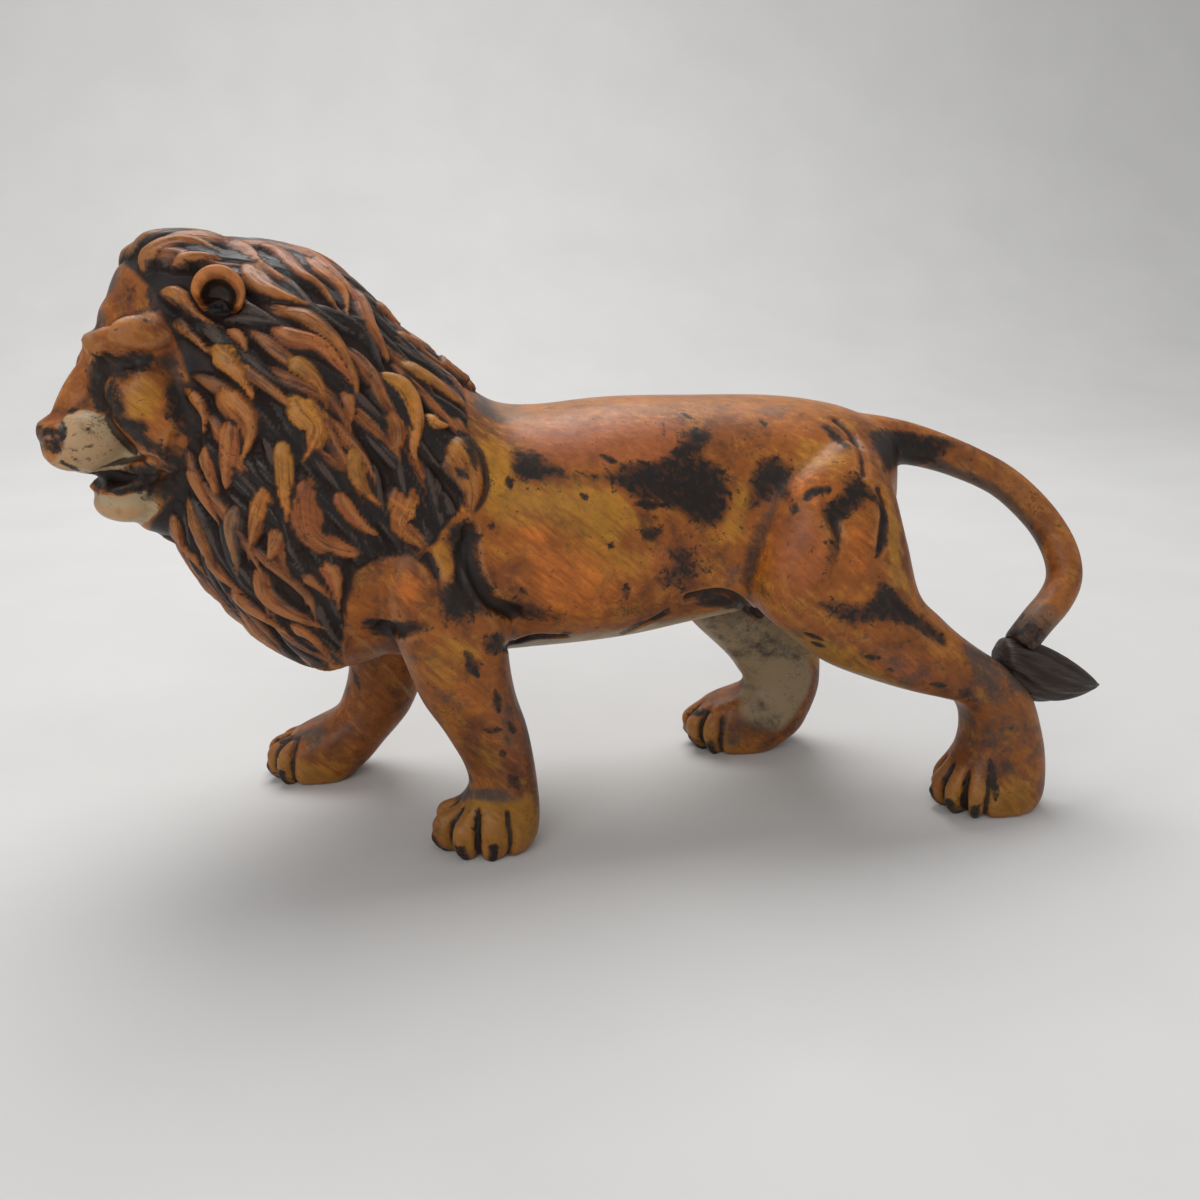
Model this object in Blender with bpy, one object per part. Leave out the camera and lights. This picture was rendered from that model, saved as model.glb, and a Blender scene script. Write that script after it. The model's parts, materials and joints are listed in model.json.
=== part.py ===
"""A walking lion figure in cast pottery, built from its separate castings.

The lion faces -X and its left side is -Y. The two body shells meet on a seam that follows the spine and
turns with the head at the neck. The legs and the tail plug into them, and the ears sit in pockets.
"""

import math

import bmesh
import bpy
import numpy as np

# Heights above the table. The head hangs a little below the top of the mane.
MANE_HEIGHT = 0.1362
CROWN_DEPTH = 0.0037
FACE_HEIGHT = 0.0545
CHIN_HEIGHT = MANE_HEIGHT - CROWN_DEPTH - FACE_HEIGHT
BACK_HEIGHT = 0.0985
LEG_JOINT_HEIGHT = 0.0470

# Lengths and places along the spine
TORSO_FRONT = -0.0740
TORSO_LENGTH = 0.1425
MANE_FRONT = -0.1030
MANE_LENGTH = 0.0820
NECK_PLACE = -0.0800
HEAD_LENGTH = 0.0415

# Half widths
TORSO_HALF_WIDTH = 0.0265
MANE_HALF_WIDTH = 0.0320
HEAD_HALF_WIDTH = 0.0235
STANCE_HALF_WIDTH = 0.0325

# Where each paw stands, along the spine
FORE_LEFT_PLACE = -0.0315
FORE_RIGHT_PLACE = -0.0720
HIND_LEFT_PLACE = 0.0905
HIND_RIGHT_PLACE = 0.0412

# Tail and tuft. The tail leaves the rump a little below the top of the back.
TAIL_ROOT_DEPTH = 0.0121
TAIL_HEIGHT = BACK_HEIGHT - TAIL_ROOT_DEPTH
TAIL_REACH = 0.0450
TAIL_RADIUS = 0.0042
TUFT_LENGTH = 0.0275
TUFT_HALF_HEIGHT = 0.0074
TUFT_HALF_WIDTH = 0.0062

# Ears, eyes, brows, cheeks, muzzle and toes
EAR_RADIUS = 0.0060
EAR_DEPTH = 0.0045
EYE_RADIUS = 0.0031
BROW_RADIUS = 0.0048
CHEEK_RADIUS = 0.0080
MUZZLE_RADIUS = 0.0072
NOSE_RADIUS = 0.0036
TOE_RADIUS = 0.0040

# Locks of the mane
LOCK_HALF_WIDTH = 0.0046
LOCK_RISE = 0.0020
LOCK_ROOT = 0.0018
LOCK_BED = 0.0011
CROWN_BED = 0.0005
LOCK_STEPS = 5
LOOK_SHARE = 0.01

# Casting
WALL = 0.0034
SPIGOT_HEIGHT = 0.0050
BORE_FLOOR = 0.0270
GAP = 0.0003
OVERRUN = 0.0080
HEAD_TURN = math.radians(26)

# Numbers of rings along a form and of points round it
RINGS = {"torso": 15, "mane": 19, "head": 18, "jaw": 7, "limb": 20, "tail": 18, "tuft": 10, "hollow": 11}
POINTS = {"trunk": 26, "limb": 14, "tail": 10, "hollow": 12}
FULLNESS = {"trunk": 2.2, "head": 2.3, "limb": 2.5, "tail": 2.0}

# Along the form, then top, widest height, underside and half width
TORSO_SHARES = (
    (0.00, 0.90, 0.67, 0.53, 0.55),
    (0.105, 0.96, 0.69, 0.43, 0.85),
    (0.23, 1.00, 0.71, 0.41, 0.98),
    (0.37, 0.985, 0.70, 0.42, 1.00),
    (0.525, 1.00, 0.69, 0.435, 0.98),
    (0.65, 1.00, 0.69, 0.465, 0.95),
    (0.79, 0.995, 0.69, 0.50, 0.93),
    (0.885, 0.975, 0.70, 0.53, 0.91),
    (0.94, 0.95, 0.72, 0.56, 0.78),
    (0.98, 0.925, 0.75, 0.63, 0.48),
    (1.00, 0.90, 0.79, 0.71, 0.16),
)
MANE_SHARES = (
    (0.00, 0.955, 0.90, 0.86, 0.14),
    (0.05, 0.98, 0.85, 0.56, 0.42),
    (0.10, 0.995, 0.79, 0.465, 0.64),
    (0.18, 0.998, 0.73, 0.40, 0.83),
    (0.27, 1.00, 0.69, 0.34, 0.94),
    (0.38, 0.993, 0.65, 0.293, 1.00),
    (0.48, 0.972, 0.62, 0.275, 1.00),
    (0.58, 0.925, 0.59, 0.29, 0.97),
    (0.68, 0.86, 0.565, 0.32, 0.93),
    (0.78, 0.81, 0.55, 0.35, 0.87),
    (0.88, 0.76, 0.55, 0.385, 0.83),
    (0.96, 0.718, 0.56, 0.42, 0.78),
    (1.00, 0.70, 0.56, 0.45, 0.70),
)
HEAD_SHARES = (
    (-0.10, 1.00, 0.50, 0.05, 0.95),
    (0.15, 1.01, 0.52, 0.03, 1.00),
    (0.35, 1.01, 0.50, 0.05, 0.93),
    (0.48, 0.98, 0.47, 0.10, 0.84),
    (0.56, 0.88, 0.45, 0.20, 0.77),
    (0.65, 0.77, 0.42, 0.205, 0.70),
    (0.74, 0.655, 0.39, 0.20, 0.60),
    (0.82, 0.57, 0.36, 0.205, 0.50),
    (0.90, 0.50, 0.34, 0.23, 0.42),
    (0.96, 0.46, 0.34, 0.265, 0.34),
    (1.00, 0.405, 0.35, 0.31, 0.20),
)
JAW_SHARES = (
    (0.30, 0.20, 0.10, -0.02, 0.55),
    (0.50, 0.15, 0.08, -0.01, 0.50),
    (0.62, 0.145, 0.07, -0.015, 0.42),
    (0.71, 0.14, 0.08, 0.01, 0.33),
    (0.77, 0.12, 0.09, 0.05, 0.16),
)

# Height, then front and rear edge from the paw's place, then inner and outer side
FORE_LEFT_SHARES = (
    (0.00, -0.088, 0.085, 0.44, 0.96),
    (0.03, -0.105, 0.105, 0.42, 0.99),
    (0.06, -0.105, 0.11, 0.42, 0.99),
    (0.09, -0.095, 0.112, 0.43, 0.97),
    (0.143, -0.052, 0.108, 0.45, 0.95),
    (0.21, -0.06, 0.10, 0.46, 0.94),
    (0.293, -0.10, 0.085, 0.45, 0.95),
    (0.375, -0.15, 0.06, 0.40, 0.98),
    (0.475, -0.185, 0.045, 0.34, 1.02),
    (0.556, -0.21, 0.05, 0.32, 1.03),
    (0.64, -0.23, 0.045, 0.32, 1.02),
    (0.73, -0.22, 0.025, 0.40, 0.96),
    (0.81, -0.14, -0.02, 0.60, 0.86),
)
FORE_RIGHT_SHARES = (
    (0.00, -0.095, 0.08, 0.44, 0.96),
    (0.02, -0.125, 0.10, 0.42, 0.99),
    (0.045, -0.137, 0.13, 0.42, 0.99),
    (0.095, -0.108, 0.172, 0.42, 0.98),
    (0.137, -0.03, 0.21, 0.44, 0.96),
    (0.175, 0.045, 0.238, 0.46, 0.94),
    (0.235, 0.075, 0.265, 0.45, 0.94),
    (0.315, 0.085, 0.295, 0.42, 0.96),
    (0.39, 0.072, 0.315, 0.38, 0.98),
    (0.475, 0.052, 0.34, 0.34, 1.00),
    (0.585, 0.035, 0.355, 0.33, 1.01),
    (0.69, 0.04, 0.345, 0.40, 0.96),
    (0.785, 0.12, 0.285, 0.60, 0.86),
)
HIND_LEFT_SHARES = (
    (0.00, -0.085, 0.105, 0.44, 0.96),
    (0.02, -0.105, 0.12, 0.42, 0.99),
    (0.045, -0.125, 0.13, 0.42, 0.99),
    (0.10, -0.122, 0.13, 0.42, 0.98),
    (0.163, -0.09, 0.122, 0.45, 0.94),
    (0.24, -0.09, 0.098, 0.46, 0.93),
    (0.293, -0.13, 0.075, 0.44, 0.94),
    (0.333, -0.265, 0.04, 0.40, 0.96),
    (0.37, -0.37, 0.00, 0.36, 0.98),
    (0.41, -0.46, -0.06, 0.32, 1.00),
    (0.453, -0.515, -0.118, 0.29, 1.01),
    (0.50, -0.57, -0.17, 0.27, 1.02),
    (0.555, -0.625, -0.225, 0.26, 1.03),
    (0.64, -0.645, -0.255, 0.26, 1.01),
    (0.76, -0.61, -0.28, 0.28, 0.93),
    (0.835, -0.56, -0.31, 0.30, 0.82),
    (0.905, -0.45, -0.35, 0.35, 0.62),
)
HIND_RIGHT_SHARES = (
    (0.00, -0.105, 0.08, 0.44, 0.96),
    (0.015, -0.13, 0.105, 0.42, 0.99),
    (0.045, -0.165, 0.155, 0.42, 0.99),
    (0.09, -0.16, 0.18, 0.42, 0.98),
    (0.137, -0.108, 0.198, 0.44, 0.95),
    (0.175, -0.005, 0.205, 0.46, 0.92),
    (0.225, -0.025, 0.205, 0.45, 0.92),
    (0.277, -0.064, 0.20, 0.42, 0.93),
    (0.36, -0.148, 0.195, 0.35, 0.96),
    (0.41, -0.19, 0.21, 0.32, 0.98),
    (0.475, -0.222, 0.235, 0.28, 1.00),
    (0.547, -0.245, 0.245, 0.26, 1.02),
    (0.65, -0.237, 0.245, 0.26, 1.00),
    (0.79, -0.125, 0.215, 0.30, 0.93),
    (0.905, 0.00, 0.12, 0.35, 0.62),
)

# Limb name, side, paw place and shares
LIMBS = (
    ("foreleg_left", -1, FORE_LEFT_PLACE, FORE_LEFT_SHARES),
    ("foreleg_right", 1, FORE_RIGHT_PLACE, FORE_RIGHT_SHARES),
    ("hindleg_left", -1, HIND_LEFT_PLACE, HIND_LEFT_SHARES),
    ("hindleg_right", 1, HIND_RIGHT_PLACE, HIND_RIGHT_SHARES),
)

# The tail's middle line from its root: along, side and height as shares of its reach, then its radius
TAIL_SHARES = (
    (-0.20, 0.00, 0.02, 1.60),
    (0.00, 0.00, 0.00, 1.50),
    (0.14, 0.00, -0.01, 1.25),
    (0.31, -0.01, -0.055, 1.12),
    (0.485, -0.03, -0.12, 1.05),
    (0.66, -0.06, -0.205, 1.00),
    (0.795, -0.10, -0.31, 1.00),
    (0.92, -0.15, -0.45, 1.00),
    (0.985, -0.22, -0.59, 1.02),
    (0.99, -0.28, -0.72, 1.02),
    (0.915, -0.34, -0.825, 1.00),
    (0.79, -0.40, -0.92, 0.98),
    (0.67, -0.44, -1.04, 0.95),
)
TAIL_ROOT_SHARE = 0.98

# The tuft: along from its start, height from the tail's end, half height and half width
TUFT_SHARES = (
    (0.00, -0.10, 0.40, 0.55),
    (0.08, -0.13, 0.80, 0.90),
    (0.28, -0.22, 1.00, 1.00),
    (0.50, -0.29, 0.93, 0.92),
    (0.75, -0.35, 0.60, 0.70),
    (0.92, -0.39, 0.28, 0.40),
    (1.00, -0.41, 0.06, 0.12),
)
TUFT_START_SHARE = 0.18

# Toes: their height on the paw, then places and a stretch in shares of the toe's radius
TOE_COUNT = 4
TOE_LEVEL_SHARE = 0.065
TOE_SHARES = {"set_back": 0.75, "edge": 0.95, "arc": 0.90, "rise": 1.30}
TOE_STRETCH_SHARES = (1.50, 0.85, 1.20)

# Ears and nose: forward, side and height on the head, then a stretch
EAR_PLACE_SHARES = (0.27, 0.98, 0.85)
EAR_TALL_SHARE = 1.05
CUP_PLACE_SHARES = (0.30, 1.17, 0.85)
CUP_STRETCH_SHARES = (0.62, 0.95, 0.68)
NOSE_PLACE_SHARES = (0.96, 0.0, 0.39)
NOSE_STRETCH_SHARES = (1.00, 1.25, 0.90)

# Small forms on the head: forward, side and height, then its radius and its stretch
FACE_FORM_SHARES = (
    (0.62, 0.42, 0.66, BROW_RADIUS, (1.5, 1.05, 0.80)),
    (0.65, 0.53, 0.59, EYE_RADIUS, (1.1, 0.8, 0.8)),
    (0.52, 0.55, 0.40, CHEEK_RADIUS, (1.1, 0.75, 1.3)),
    (0.80, 0.27, 0.31, MUZZLE_RADIUS, (1.05, 0.80, 0.85)),
)

# Locks of the mane: root, middle and tip, each a place along and a place round, then half width
LOCK_SHARES = (
    (0.100, 0.281, 0.144, 0.175, 0.269, 0.169, 0.68),
    (0.156, 0.244, 0.206, 0.200, 0.275, 0.181, 0.50),
    (0.038, 0.250, 0.163, 0.062, 0.400, 0.025, 0.57),
    (0.106, 0.213, 0.294, 0.106, 0.500, 0.238, 0.68),
    (0.325, 0.163, 0.369, 0.225, 0.506, 0.231, 0.76),
    (0.306, 0.075, 0.450, 0.156, 0.556, 0.213, 0.57),
    (0.369, 0.044, 0.537, 0.094, 0.650, 0.219, 0.78),
    (0.431, 0.081, 0.525, 0.131, 0.562, 0.213, 0.57),
    (0.375, 0.269, 0.519, 0.269, 0.569, 0.356, 0.63),
    (0.375, 0.294, 0.481, 0.300, 0.569, 0.338, 0.65),
    (0.400, 0.344, 0.463, 0.350, 0.500, 0.400, 0.63),
    (0.419, 0.381, 0.475, 0.419, 0.431, 0.475, 1.04),
    (0.244, 0.356, 0.294, 0.375, 0.338, 0.419, 0.86),
    (0.238, 0.419, 0.306, 0.450, 0.288, 0.506, 0.81),
    (0.263, 0.463, 0.263, 0.506, 0.244, 0.556, 0.70),
    (0.206, 0.513, 0.213, 0.544, 0.225, 0.575, 0.50),
    (0.163, 0.544, 0.181, 0.588, 0.219, 0.625, 0.57),
    (0.163, 0.469, 0.206, 0.469, 0.200, 0.506, 0.39),
    (0.125, 0.312, 0.175, 0.306, 0.256, 0.331, 0.55),
    (0.163, 0.363, 0.181, 0.356, 0.231, 0.381, 0.50),
    (0.394, 0.444, 0.394, 0.500, 0.394, 0.550, 0.60),
    (0.469, 0.475, 0.444, 0.550, 0.594, 0.544, 1.10),
    (0.513, 0.481, 0.544, 0.513, 0.613, 0.525, 0.57),
    (0.575, 0.406, 0.569, 0.456, 0.625, 0.488, 0.70),
    (0.350, 0.513, 0.325, 0.556, 0.281, 0.650, 0.73),
    (0.375, 0.556, 0.363, 0.588, 0.325, 0.638, 0.68),
    (0.131, 0.638, 0.175, 0.688, 0.213, 0.731, 0.68),
    (0.106, 0.700, 0.113, 0.775, 0.169, 0.800, 0.57),
    (0.269, 0.562, 0.256, 0.613, 0.250, 0.700, 0.63),
    (0.556, 0.100, 0.606, 0.175, 0.656, 0.231, 0.76),
    (0.631, 0.031, 0.663, 0.006, 0.706, 0.000, 0.52),
    (0.669, 0.100, 0.731, 0.081, 0.800, 0.019, 0.55),
    (0.769, 0.081, 0.831, 0.019, 0.894, 0.025, 0.57),
    (0.669, 0.200, 0.763, 0.194, 0.844, 0.206, 0.68),
    (0.625, 0.275, 0.700, 0.300, 0.719, 0.413, 0.83),
    (0.631, 0.331, 0.656, 0.375, 0.681, 0.425, 0.73),
    (0.769, 0.344, 0.825, 0.381, 0.838, 0.469, 1.20),
    (0.694, 0.425, 0.656, 0.488, 0.713, 0.531, 1.10),
    (0.294, 0.650, 0.344, 0.700, 0.469, 0.713, 0.68),
    (0.219, 0.738, 0.281, 0.756, 0.381, 0.769, 0.63),
    (0.406, 0.613, 0.450, 0.625, 0.488, 0.650, 0.47),
    (0.356, 0.738, 0.413, 0.731, 0.475, 0.844, 0.57),
    (0.169, 0.700, 0.200, 0.725, 0.263, 0.731, 0.63),
    (0.456, 0.581, 0.481, 0.613, 0.494, 0.669, 0.68),
)
LOCK_BULGE_SHARES = ((0.0, 0.10), (0.20, 0.75), (0.40, 1.00), (0.60, 0.90), (0.80, 0.55), (1.0, 0.06))

COLOURS = {
    "body": (0.322, 0.102, 0.027),
    "leg": (0.356, 0.165, 0.034),
    "tail": (0.262, 0.080, 0.027),
    "tuft": (0.068, 0.063, 0.056),
    "ear": (0.340, 0.120, 0.040),
}


def clear_scene():
    """Takes away what the start-up file holds."""
    for thing in list(bpy.data.objects):
        bpy.data.objects.remove(thing, do_unlink=True)


def new_collection(name, helper):
    """A collection for the figure, or for the forms that shape it."""
    made = bpy.data.collections.new(name)
    bpy.context.scene.collection.children.link(made)
    made.hide_render = helper
    return made


def finish(name, colour):
    """A painted pottery finish."""
    made = bpy.data.materials.new(name)
    made.use_nodes = True
    shader = made.node_tree.nodes["Principled BSDF"]
    shader.inputs["Base Color"].default_value = (*colour, 1.0)
    shader.inputs["Roughness"].default_value = 0.5
    shader.inputs["Metallic"].default_value = 0.0
    return made


def through(rows, count):
    """Rows of numbers read along a smooth curve that passes through each of them."""
    table = np.array(rows, float)
    spans = np.arange(len(table), dtype=float)
    slopes = np.gradient(table, axis=0)
    places = np.linspace(0.0, spans[-1], count)
    before = np.minimum(places.astype(int), len(table) - 2)
    t = (places - before)[:, None]
    start, end = table[before], table[before + 1]
    away, arrive = slopes[before], slopes[before + 1]
    return (
        (1 + 2 * t) * (1 - t) ** 2 * start
        + t * (1 - t) ** 2 * away
        + t**2 * (3 - 2 * t) * end
        - t**2 * (1 - t) * arrive
    )


def between(rows, low, high, count):
    """Rows read only from one value of the first column to another."""
    fine = through(rows, 12 * len(rows))
    wanted = np.linspace(low, high, count)
    return np.stack([np.interp(wanted, fine[:, 0], column) for column in fine.T], axis=1)


def oval(count, fullness):
    """Places round a unit outline that is a circle at fullness 2 and squarer above it."""
    turn = np.linspace(0.0, 2 * math.pi, count, endpoint=False)
    across = np.sign(np.sin(turn)) * np.abs(np.sin(turn)) ** (2 / fullness)
    up = np.sign(np.cos(turn)) * np.abs(np.cos(turn)) ** (2 / fullness)
    return across, up


def loft(name, rings, collection):
    """A closed skin over rings of points, with a flat end at the first and the last."""
    ring_count, around, _ = rings.shape
    made = bmesh.new()
    points = [[made.verts.new(place) for place in ring] for ring in rings]
    for near, far in zip(points, points[1:]):
        for index in range(around):
            after = (index + 1) % around
            made.faces.new((near[index], near[after], far[after], far[index]))
    made.faces.new(points[0][::-1])
    made.faces.new(points[-1])
    bmesh.ops.triangulate(made, faces=made.faces)
    bmesh.ops.recalc_face_normals(made, faces=made.faces)
    return mesh_object(name, made, collection)


def mesh_object(name, made, collection):
    """Puts a finished bmesh into an object."""
    mesh = bpy.data.meshes.new(name)
    made.to_mesh(mesh)
    made.free()
    thing = bpy.data.objects.new(name, mesh)
    collection.objects.link(thing)
    thing.display_type = "WIRE" if collection.hide_render else "TEXTURED"
    return thing


def trunk_rings(rows, count, start, length, floor, height, half_width, fullness, grow=0.0, bed=0.0):
    """Upright rings along the spine. Grow moves the whole skin out, or in where it is negative.
    Bed sinks the surface inside its outline without changing how finely it is divided."""
    across, up = oval(POINTS["hollow" if grow < -GAP else "trunk"], fullness)
    grow = grow - bed
    ends = (rows[0][0] - grow / length, rows[-1][0] + grow / length)
    rows = between(rows, max(ends[0], rows[0][0]), min(ends[1], rows[-1][0]), count)
    along = start + length * np.linspace(ends[0], ends[1], count)
    top = floor + height * rows[:, 1] + grow
    middle = floor + height * rows[:, 2]
    under = floor + height * rows[:, 3] - grow
    wide = np.maximum(half_width * rows[:, 4] + grow, GAP)
    reach = np.where(up > 0, (top - middle)[:, None], (middle - under)[:, None])
    rings = np.empty((count, len(up), 3))
    rings[..., 0] = along[:, None]
    rings[..., 1] = wide[:, None] * across
    rings[..., 2] = middle[:, None] + np.maximum(reach, GAP) * up
    return rings


def torso_rings(grow=0.0):
    count = RINGS["hollow" if grow < -GAP else "torso"]
    size = (TORSO_FRONT, TORSO_LENGTH, 0.0, BACK_HEIGHT, TORSO_HALF_WIDTH, FULLNESS["trunk"])
    return trunk_rings(TORSO_SHARES, count, *size, grow)


def mane_rings(grow=0.0):
    """The mane between its locks, which lies deepest at the crown."""
    count = RINGS["hollow" if grow < -GAP else "mane"]
    size = (MANE_FRONT, MANE_LENGTH, 0.0, MANE_HEIGHT, MANE_HALF_WIDTH, FULLNESS["trunk"])
    rings = trunk_rings(MANE_SHARES, count, *size, grow, LOCK_BED)
    _, up = oval(rings.shape[1], FULLNESS["trunk"])
    rings[..., 2] -= CROWN_BED * np.maximum(up, 0.0) ** 2
    return rings


def head_rings(rows, count, grow=0.0):
    """Rings of the head or jaw, which runs forward to -X from the neck before it is turned."""
    size = (0.0, HEAD_LENGTH, CHIN_HEIGHT, FACE_HEIGHT, HEAD_HALF_WIDTH, FULLNESS["head"])
    rings = trunk_rings(rows, count, *size, grow)
    rings[..., 0] *= -1
    return rings


def limb_rings(side, place, rows, low, high, grow=0.0):
    """Level rings up a limb, from one height to another, at the same levels for each skin of the limb."""
    grid = between(rows, 0.0, rows[-1][0], RINGS["limb"])
    inside = grid[(grid[:, 0] > low / BACK_HEIGHT) & (grid[:, 0] < high / BACK_HEIGHT), 0]
    levels = np.array([low / BACK_HEIGHT, *inside, high / BACK_HEIGHT])
    rows = np.stack([np.interp(levels, grid[:, 0], column) for column in grid.T], axis=1)
    count = len(levels)
    front = place + BACK_HEIGHT * rows[:, 1] - grow
    rear = place + BACK_HEIGHT * rows[:, 2] + grow
    inner = STANCE_HALF_WIDTH * rows[:, 3] - grow
    outer = STANCE_HALF_WIDTH * rows[:, 4] + grow
    across, up = oval(POINTS["limb"], FULLNESS["limb"])
    rings = np.empty((count, len(up), 3))
    rings[..., 0] = ((front + rear) / 2)[:, None] + ((rear - front) / 2)[:, None] * up
    rings[..., 1] = side * (((inner + outer) / 2)[:, None] + ((outer - inner) / 2)[:, None] * across)
    rings[..., 2] = BACK_HEIGHT * levels[:, None]
    return rings


def tail_middle(count):
    """The tail's middle line and its radius at each point."""
    rows = through(TAIL_SHARES, count)
    root = (TORSO_FRONT + TORSO_LENGTH * TAIL_ROOT_SHARE, 0.0, TAIL_HEIGHT)
    return root + TAIL_REACH * rows[:, :3], TAIL_RADIUS * rows[:, 3]


def tail_rings(grow=0.0):
    """Round rings square to the tail's middle line."""
    line, radius = tail_middle(RINGS["tail"])
    ahead = np.gradient(line, axis=0)
    ahead /= np.linalg.norm(ahead, axis=1)[:, None]
    side = np.cross(ahead, (0.0, 1.0, 0.0))
    side /= np.linalg.norm(side, axis=1)[:, None]
    over = np.cross(ahead, side)
    across, up = oval(POINTS["tail"], FULLNESS["tail"])
    if grow:
        line[0] -= ahead[0] * grow
        line[-1] += ahead[-1] * grow
    spread = (radius + grow)[:, None, None]
    outward = across[None, :, None] * side[:, None] + up[None, :, None] * over[:, None]
    return line[:, None] + spread * outward


def tuft_rings():
    """Upright rings from the tail's end to the tuft's tip."""
    rows = through(TUFT_SHARES, RINGS["tuft"])
    root = tail_middle(RINGS["tail"])[0][-1]
    across, up = oval(POINTS["tail"], FULLNESS["tail"])
    rings = np.empty((len(rows), len(up), 3))
    rings[..., 0] = (root[0] + TUFT_LENGTH * (rows[:, 0] - TUFT_START_SHARE))[:, None]
    rings[..., 1] = root[1] + (TUFT_HALF_WIDTH * rows[:, 3])[:, None] * across
    middle = root[2] + TUFT_LENGTH * rows[:, 1]
    rings[..., 2] = middle[:, None] + (TUFT_HALF_HEIGHT * rows[:, 2])[:, None] * up
    return rings


def ball(name, centre, radii, collection, turn=0.0):
    """A round form with its own stretch along each axis."""
    made = bmesh.new()
    bmesh.ops.create_uvsphere(made, u_segments=9, v_segments=6, radius=1.0)
    bmesh.ops.scale(made, vec=radii, verts=made.verts)
    thing = mesh_object(name, made, collection)
    thing.location = centre
    thing.rotation_euler.z = turn
    return thing


def head_place(forward, side, height, hand=1):
    """A place in the head's own frame, as shares, turned with the head into the figure's frame."""
    ahead = HEAD_LENGTH * forward
    out = HEAD_HALF_WIDTH * side * hand
    return (
        NECK_PLACE - ahead * math.cos(HEAD_TURN) - out * math.sin(HEAD_TURN),
        -ahead * math.sin(HEAD_TURN) + out * math.cos(HEAD_TURN),
        CHIN_HEIGHT + FACE_HEIGHT * height,
    )


def turned(thing):
    """Sets a form made along -X at the neck, turned with the head."""
    thing.location.x = NECK_PLACE
    thing.rotation_euler.z = HEAD_TURN
    return thing


def unit(way):
    """The same direction with a length of one."""
    return way / np.linalg.norm(way)


def mane_surface(along, around, grow):
    """A point on the mane. Around runs from 0 at the top to 1 at the underside, on the +Y side."""
    row = between(MANE_SHARES, along, along, 2)[0]
    grow = grow - LOCK_BED
    turn = math.pi * around
    across = abs(math.sin(turn)) ** (2 / FULLNESS["trunk"])
    up = math.copysign(abs(math.cos(turn)) ** (2 / FULLNESS["trunk"]), math.cos(turn))
    middle = MANE_HEIGHT * row[2]
    reach = MANE_HEIGHT * (row[1] - row[2] if up > 0 else row[2] - row[3])
    return np.array(
        (
            MANE_FRONT + MANE_LENGTH * along,
            (MANE_HALF_WIDTH * row[4] + grow) * across,
            middle + (reach + grow) * up - CROWN_BED * max(up, 0.0) ** 2,
        )
    )


def lock_rings(root, middle, tip, half_width):
    """A leaf-shaped lock that follows a bend over the mane, thickest near its root."""
    rings = []
    for share in np.linspace(0.0, 1.0, LOCK_STEPS + 1):
        bulge = np.interp(share, *np.array(LOCK_BULGE_SHARES).T)
        ahead_share = share + LOOK_SHARE
        place, later = [
            (1 - t) * (1 - 2 * t) * root + 4 * t * (1 - t) * middle + t * (2 * t - 1) * tip
            for t in (share, ahead_share)
        ]
        foot = mane_surface(*place, -LOCK_ROOT)
        crest = mane_surface(*place, LOCK_RISE * bulge)
        here = mane_surface(*place, 0.0)
        way = unit(mane_surface(*later, 0.0) - here)
        across = unit(np.cross(crest - foot, way)) * half_width * bulge
        low = (foot + here) / 2
        rings.append((crest, low + across, foot, low - across))
    return np.array(rings)


def make_locks(collection):
    """Locks that part behind the face and sweep down both sides of the mane."""
    made = []
    for index, row in enumerate(LOCK_SHARES):
        root, middle, tip = np.array(row[:6]).reshape(3, 2)
        rings = lock_rings(root, middle, tip, LOCK_HALF_WIDTH * row[6])
        low = rings[:, 0, 2].min()
        wide = rings[:, 0, 1].max()
        if low < LEG_JOINT_HEIGHT + WALL and wide > STANCE_HALF_WIDTH / 3:
            continue
        for side in (1, -1):
            made.append(loft(f"lock_{index}_{side}", rings * (1, side, 1), collection))
    return made


def toes(name, side, place, rows, collection):
    """Toes in an arc across the front of a paw."""
    made = []
    row = between(rows, TOE_LEVEL_SHARE, TOE_LEVEL_SHARE, 2)[0]
    front = place + BACK_HEIGHT * row[1] + TOE_RADIUS * TOE_SHARES["set_back"]
    inner = STANCE_HALF_WIDTH * row[3] + TOE_RADIUS * TOE_SHARES["edge"]
    outer = STANCE_HALF_WIDTH * row[4] - TOE_RADIUS * TOE_SHARES["edge"]
    radii = [TOE_RADIUS * share for share in TOE_STRETCH_SHARES]
    for toe in range(TOE_COUNT):
        share = toe / (TOE_COUNT - 1)
        back = TOE_RADIUS * TOE_SHARES["arc"] * (2 * share - 1) ** 2
        place_out = side * (inner + (outer - inner) * share)
        centre = (front + back, place_out, TOE_RADIUS * TOE_SHARES["rise"])
        made.append(ball(f"{name}_toe_{toe}", centre, radii, collection))
    return made


def baked(thing):
    """The object's mesh with its modifiers and its place worked in."""
    bpy.context.view_layer.update()
    graph = bpy.context.evaluated_depsgraph_get()
    mesh = bpy.data.meshes.new_from_object(thing.evaluated_get(graph))
    mesh.transform(thing.matrix_world)
    thing.modifiers.clear()
    thing.data = mesh
    thing.location = (0.0, 0.0, 0.0)
    thing.rotation_euler = (0.0, 0.0, 0.0)
    bpy.context.view_layer.update()
    return thing


def without_crumbs(thing):
    """Keeps the largest body of a mesh and drops slivers that a cut left beside it."""
    made = bmesh.new()
    made.from_mesh(thing.data)
    left = set(made.verts)
    bodies = []
    while left:
        body, edge = set(), {left.pop()}
        while edge:
            body |= edge
            edge = {e.other_vert(v) for v in edge for e in v.link_edges} & left
            left -= edge
        bodies.append(body)
    largest = max(bodies, key=len)
    bmesh.ops.delete(made, geom=[v for v in made.verts if v not in largest], context="VERTS")
    made.to_mesh(thing.data)
    made.free()
    return thing


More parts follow.
